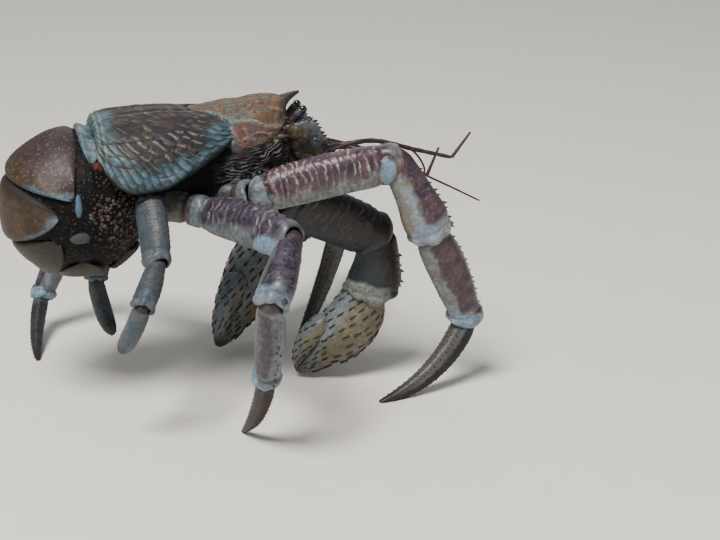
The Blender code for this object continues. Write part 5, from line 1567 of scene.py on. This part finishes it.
def make_feeler(name, points, root, tip, ring):
    """A tapering feeler of many short rings."""
    route = np.array([tuple(p) for p in route_points(points, 40)])
    gaps = np.linalg.norm(np.diff(route, axis=0), axis=1)
    at = np.concatenate(([0.0], np.cumsum(gaps))) / MM
    place = np.linspace(0, at[-1], int(at[-1] / ring * 5))
    middle = np.stack([np.interp(place, at, route[:, k]) for k in range(3)], axis=-1)
    ahead = np.gradient(middle, axis=0)
    ahead /= np.linalg.norm(ahead, axis=1, keepdims=True)
    side = np.cross(ahead, (0, 0, 1))
    side /= np.linalg.norm(side, axis=1, keepdims=True)
    up = np.cross(side, ahead)
    share = place / at[-1]
    bead = np.abs(np.cos(place / ring * pi)) ** 0.5
    radius = (root + (tip - root) * share) / 2 * (0.84 + 0.22 * bead)
    radius[0] *= 0.8
    radius[-1] *= 0.6
    angles = np.arange(10) * 2 * pi / 10
    circle = side[:, None] * np.cos(angles)[None, :, None] + up[:, None] * np.sin(angles)[None, :, None]
    rows = middle[:, None] + circle * radius[:, None, None] * MM
    blank = np.zeros(10)
    skin = Skin(rows, place, share, blank, blank, blank)
    skin.mask(crest=(1 - bead[:, None]) * 0.8)
    return make_piece(f"{name}_skin", [skin.mesh()], "feeler_horn", "feeler", name)


def make_eye(side, sign):
    """A glossy eye, modelled from a sphere, and its jointed stalk."""
    ahead = direction(EYE.heading * sign, EYE.pitch)
    start = mirrored(EYE.start, sign)
    end = start + ahead * EYE.length * MM
    bpy.ops.object.select_all(action="DESELECT")
    bpy.ops.mesh.primitive_uv_sphere_add(segments=32, ring_count=20, radius=EYE.ball * MM, location=end)
    eye = bpy.context.active_object
    eye.name = eye.data.name = f"eye_{side}_ball"
    eye.scale = EYE.shape
    bpy.ops.object.transform_apply(location=True, rotation=True, scale=True)
    bpy.ops.object.shade_smooth()
    eye.data.materials.append(bpy.data.materials["eye_glass"])
    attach(eye, "root")
    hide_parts(f"eye_{side}")
    size = Sizes(depth=EYE.depth, width=EYE.width, outline=STALK)
    skin = limb_skin(start, end, UP, size, cup=False)
    points = skin.rows.copy()
    skin.lift(0.5 * (fractal(points, 2.4 * MM, 91) - 0.5))
    skin.mask(joint=0.9 * (1 - smooth(0.5, 0.8, skin.share)) * (side == "left"),
              tip=smooth(0.70, 0.95, skin.share) * 0.8)
    make_piece(f"eyestalk_{side}_skin", [skin.mesh()], "head_shell", "horn_dark", f"eyestalk_{side}")


def make_antenna_base(side, sign):
    """The stout jointed base of an antenna, with its saw-edged blade, a palp and small spines."""
    skin, blade, palp = (
        limb_skin(mirrored(size.start, sign), mirrored(size.end, sign), UP, size, cup=False)
        for size in (ANTENNA_BASE, ANTENNA_BLADE, ANTENNA_PALP))
    points = skin.rows.copy()
    soft = fractal(points, 6 * MM, 93)
    crinkle = fractal(points, 1.8 * MM, 95)
    skin.lift(2.4 * (soft - 0.5) + 1.2 * (crinkle - 0.5))
    joints = bell(skin.share - 0.42, 0.03) + bell(skin.share - 0.72, 0.03)
    skin.mask(warm=1 - smooth(0.30, 0.55, skin.share + 0.3 * (soft - 0.5)), crest=0.3 * (crinkle > 0.66),
              joint=0.2 * joints, pit=0.5 * joints, blue=0.5 * smooth(0.45, 0.62, soft) * (skin.share > 0.4))
    points = blade.rows.copy()
    soft = fractal(points, 8 * MM, 97)
    blade.lift(1.6 * (soft - 0.5) + 0.8 * (fractal(points, 2.2 * MM, 98) - 0.5))
    high = smooth(-0.2, 0.5, blade.up + 1.2 * (soft - 0.5) + 0.4 * blade.share)
    mottle = fractal(points, 3.5 * MM, 100)
    blade.mask(warm=0.8 * (1 - high) * smooth(0.35, 0.6, soft), crest=0.25 * smooth(0.5, 1.0, blade.up),
               blue=0.65 * high * (1 - smooth(0.30, 0.60, blade.share + 0.3 * (soft - 0.5))),
               pit=0.6 * smooth(0.50, 0.62, mottle))
    spikes = edge_teeth(blade, 10, 0.0, 0.94, 2.6, 99, spread=4, lean=0.9)
    for share, turn, length in BASE_SPINES:
        root, normal = near(skin, share, turn)
        spikes.append(cone(root, normal + skin.ahead, length * MM, length * 0.36 * MM))
    finish_limb_skin(palp, ANTENNA_PALP, 101)
    make_piece(f"antenna_base_{side}_skin", [skin.mesh(), blade.mesh(), palp.mesh()] + spikes,
               "head_shell", "horn_dark", f"antenna_base_{side}")


def make_mouthparts():
    """The leg-like mouth limbs under the head, with a fringe of short hairs."""
    parts = []
    hairs = []
    pieces = []
    for sign in (-1, 1):
        start, knee, end = (mirrored(point, sign) for point in (MOUTH.root, MOUTH.knee, MOUTH.tip))
        size = limb_piece("finger", 30, MOUTH.depth, MOUTH.width, MERUS, 5, row=0.6)
        thin = limb_piece("finger", 28, MOUTH.depth * 0.65, MOUTH.width * 0.65, DACTYL, 5, row=0.6)
        pieces += [(start, knee, UP, size), (knee, end, AHEAD, thin)]
    root = limb_piece("finger", 20, 15, 26, HIP, 6, row=0.6)
    pieces.append((vector(MOUTH.back), vector(MOUTH.front), UP, root))
    for number, (start, end, dorsal, size) in enumerate(pieces):
        skin = limb_skin(start, end, dorsal, size, cup=False)
        finish_limb_skin(skin, size, 100 + number)
        parts.append(skin.mesh())
        if number in (1, 3):
            normals = skin.normals()
            for k in range(MOUTH.hairs):
                pick = chance(k, number, 5)
                i = int((0.1 + 0.85 * chance(k, number, 6)) * (len(skin.rows) - 1))
                j = int(pick * skin.rows.shape[1]) % skin.rows.shape[1]
                aim = normals[i, j] + skin.ahead * 1.2
                hairs.append(cone(skin.rows[i, j], aim, (2.0 + 2.0 * pick) * MM, 0.16 * MM, 4))
    make_piece("mouthparts_skin", parts + hairs, "head_shell", "horn_dark", "mouthparts")


# Operators, in the order in which the model is finished

class CRAB_OT_finishes(bpy.types.Operator):
    """Make the materials"""
    bl_idname = "crab.finishes"
    bl_label = "Finishes"

    def execute(self, context):
        for name, shell in SHELLS.items():
            shell_finish(name, **shell)
        for make in (skin_finish, feeler_finish, eye_finish, bristle_finish):
            make()
        return {"FINISHED"}


class CRAB_OT_stage(bpy.types.Operator):
    """Add the floor, the lights and the camera"""
    bl_idname = "crab.stage"
    bl_label = "Stage"

    def execute(self, context):
        bpy.ops.object.select_all(action="DESELECT")
        bpy.ops.mesh.primitive_plane_add(size=FLOOR_SIZE, location=(0, 0, -0.2 * MM))
        floor = context.active_object
        floor.name = "floor"
        bpy.ops.object.transform_apply(location=True, rotation=True, scale=True)
        floor.data.materials.append(floor_finish())
        world = bpy.data.worlds.new("studio")
        context.scene.world = world
        world.use_nodes = True
        sky = world.node_tree.nodes["Background"]
        sky.inputs["Color"].default_value = SKY
        sky.inputs["Strength"].default_value = SKY_STRENGTH
        target = vector(LIGHTS_AIM)
        for name, place, size, power, colour in LIGHTS:
            bpy.ops.object.light_add(type="AREA", location=target + Vector(place))
            light = context.active_object
            light.name = name
            light.data.color = colour
            light.data.size = size
            light.data.energy = power
            light.rotation_euler = (-Vector(place)).to_track_quat("-Z", "Y").to_euler()
        azimuth, elevation = radians(CAMERA.azimuth), radians(CAMERA.elevation)
        back = Vector((sin(azimuth) * cos(elevation), -cos(azimuth) * cos(elevation), sin(elevation)))
        bpy.ops.object.camera_add(location=vector(CAMERA.place))
        camera = context.active_object
        camera.rotation_euler = back.to_track_quat("Z", "Y").to_euler()
        camera.data.lens = CAMERA.lens
        camera.data.sensor_width = 36
        camera.data.clip_start = 0.01
        context.scene.camera = camera
        return {"FINISHED"}


class CRAB_OT_carapace(bpy.types.Operator):
    """Model the rear carapace and the front shield"""
    bl_idname = "crab.carapace"
    bl_label = "Carapace"

    def execute(self, context):
        make_lobes()
        make_shield()
        return {"FINISHED"}


class CRAB_OT_trunk(bpy.types.Operator):
    """Model the body under the carapace, with its corrugated cheeks"""
    bl_idname = "crab.trunk"
    bl_label = "Body"

    def execute(self, context):
        make_trunk()
        return {"FINISHED"}


class CRAB_OT_abdomen(bpy.types.Operator):
    """Model the abdomen's warty bag and its plates"""
    bl_idname = "crab.abdomen"
    bl_label = "Abdomen"

    def execute(self, context):
        make_bag()
        for number, (first, last, reach, finish) in enumerate(TERGITES, start=1):
            make_plate(f"tergite_{number}", number, first, last, reach, finish)
        make_plate("tail_plate", len(TERGITES) + 1, *TAIL_PLATE, rise=3.9)
        return {"FINISHED"}


class CRAB_OT_head(bpy.types.Operator):
    """Model the eyes, feelers and mouthparts"""
    bl_idname = "crab.head"
    bl_label = "Head"

    def execute(self, context):
        for side, sign in (("right", -1), ("left", 1)):
            make_eye(side, sign)
            make_antenna_base(side, sign)
            make_feeler(f"antenna_whip_{side}", WHIP_ROUTES[side], root=2.6, tip=1.3, ring=1.6)
            make_feeler(f"antennule_stem_{side}", STEM_ROUTES[side], root=4.2, tip=2.8, ring=9.0)
            ends = (STEM_ROUTES[side][-1], ANTENNULE_ENDS[side])
            make_feeler(f"antennule_tip_{side}", ends, root=2.8, tip=1.6, ring=1.2)
        make_mouthparts()
        return {"FINISHED"}


class CRAB_OT_legs(bpy.types.Operator):
    """Model the walking legs"""
    bl_idname = "crab.legs"
    bl_label = "Walking legs"

    def execute(self, context):
        for number, (name, limb) in enumerate(LIMBS.items()):
            make_walker(name, limb, SEEDS.legs + SEEDS.step * number)
        return {"FINISHED"}


class CRAB_OT_claws(bpy.types.Operator):
    """Model the pincer limbs and the bristles of their palms"""
    bl_idname = "crab.claws"
    bl_label = "Pincers"

    def execute(self, context):
        for number, (name, claw) in enumerate(CLAWS.items()):
            skins = make_claw(name, claw, SEEDS.claws + SEEDS.step * number)
            tufts(f"{name}_palm_bristles", skins["palm"], SEEDS.palms + number, claw.scale)
            tufts(f"{name}_finger_bristles", skins["finger"], SEEDS.fingers + number,
                  claw.scale * 0.8)
        return {"FINISHED"}


STEPS = (CRAB_OT_finishes, CRAB_OT_stage, CRAB_OT_carapace, CRAB_OT_trunk, CRAB_OT_abdomen, CRAB_OT_head,
         CRAB_OT_legs, CRAB_OT_claws)


class CRAB_PT_panel(bpy.types.Panel):
    """Sizes, colours and steps of the crab"""
    bl_idname = "CRAB_PT_panel"
    bl_label = "Coconut crab"
    bl_space_type = "VIEW_3D"
    bl_region_type = "UI"
    bl_category = "Crab"

    def draw(self, context):
        for step in STEPS:
            self.layout.operator(step.bl_idname)
        for group in (context.scene.crab_sizes, context.scene.crab_colours):
            for name in group.bl_rna.properties.keys():
                if name not in ("rna_type", "name"):
                    self.layout.prop(group, name)


CLASSES = (CrabSizes, CrabColours) + STEPS + (CRAB_PT_panel,)


def register():
    for kind in CLASSES:
        bpy.utils.register_class(kind)
    bpy.types.Scene.crab_sizes = bpy.props.PointerProperty(type=CrabSizes)
    bpy.types.Scene.crab_colours = bpy.props.PointerProperty(type=CrabColours)


def unregister():
    del bpy.types.Scene.crab_sizes
    del bpy.types.Scene.crab_colours
    for kind in reversed(CLASSES):
        bpy.utils.unregister_class(kind)


def main():
    register()
    for step in STEPS:
        group, action = step.bl_idname.split(".")
        getattr(getattr(bpy.ops, group), action)()
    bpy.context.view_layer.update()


if __name__ == "__main__":
    main()
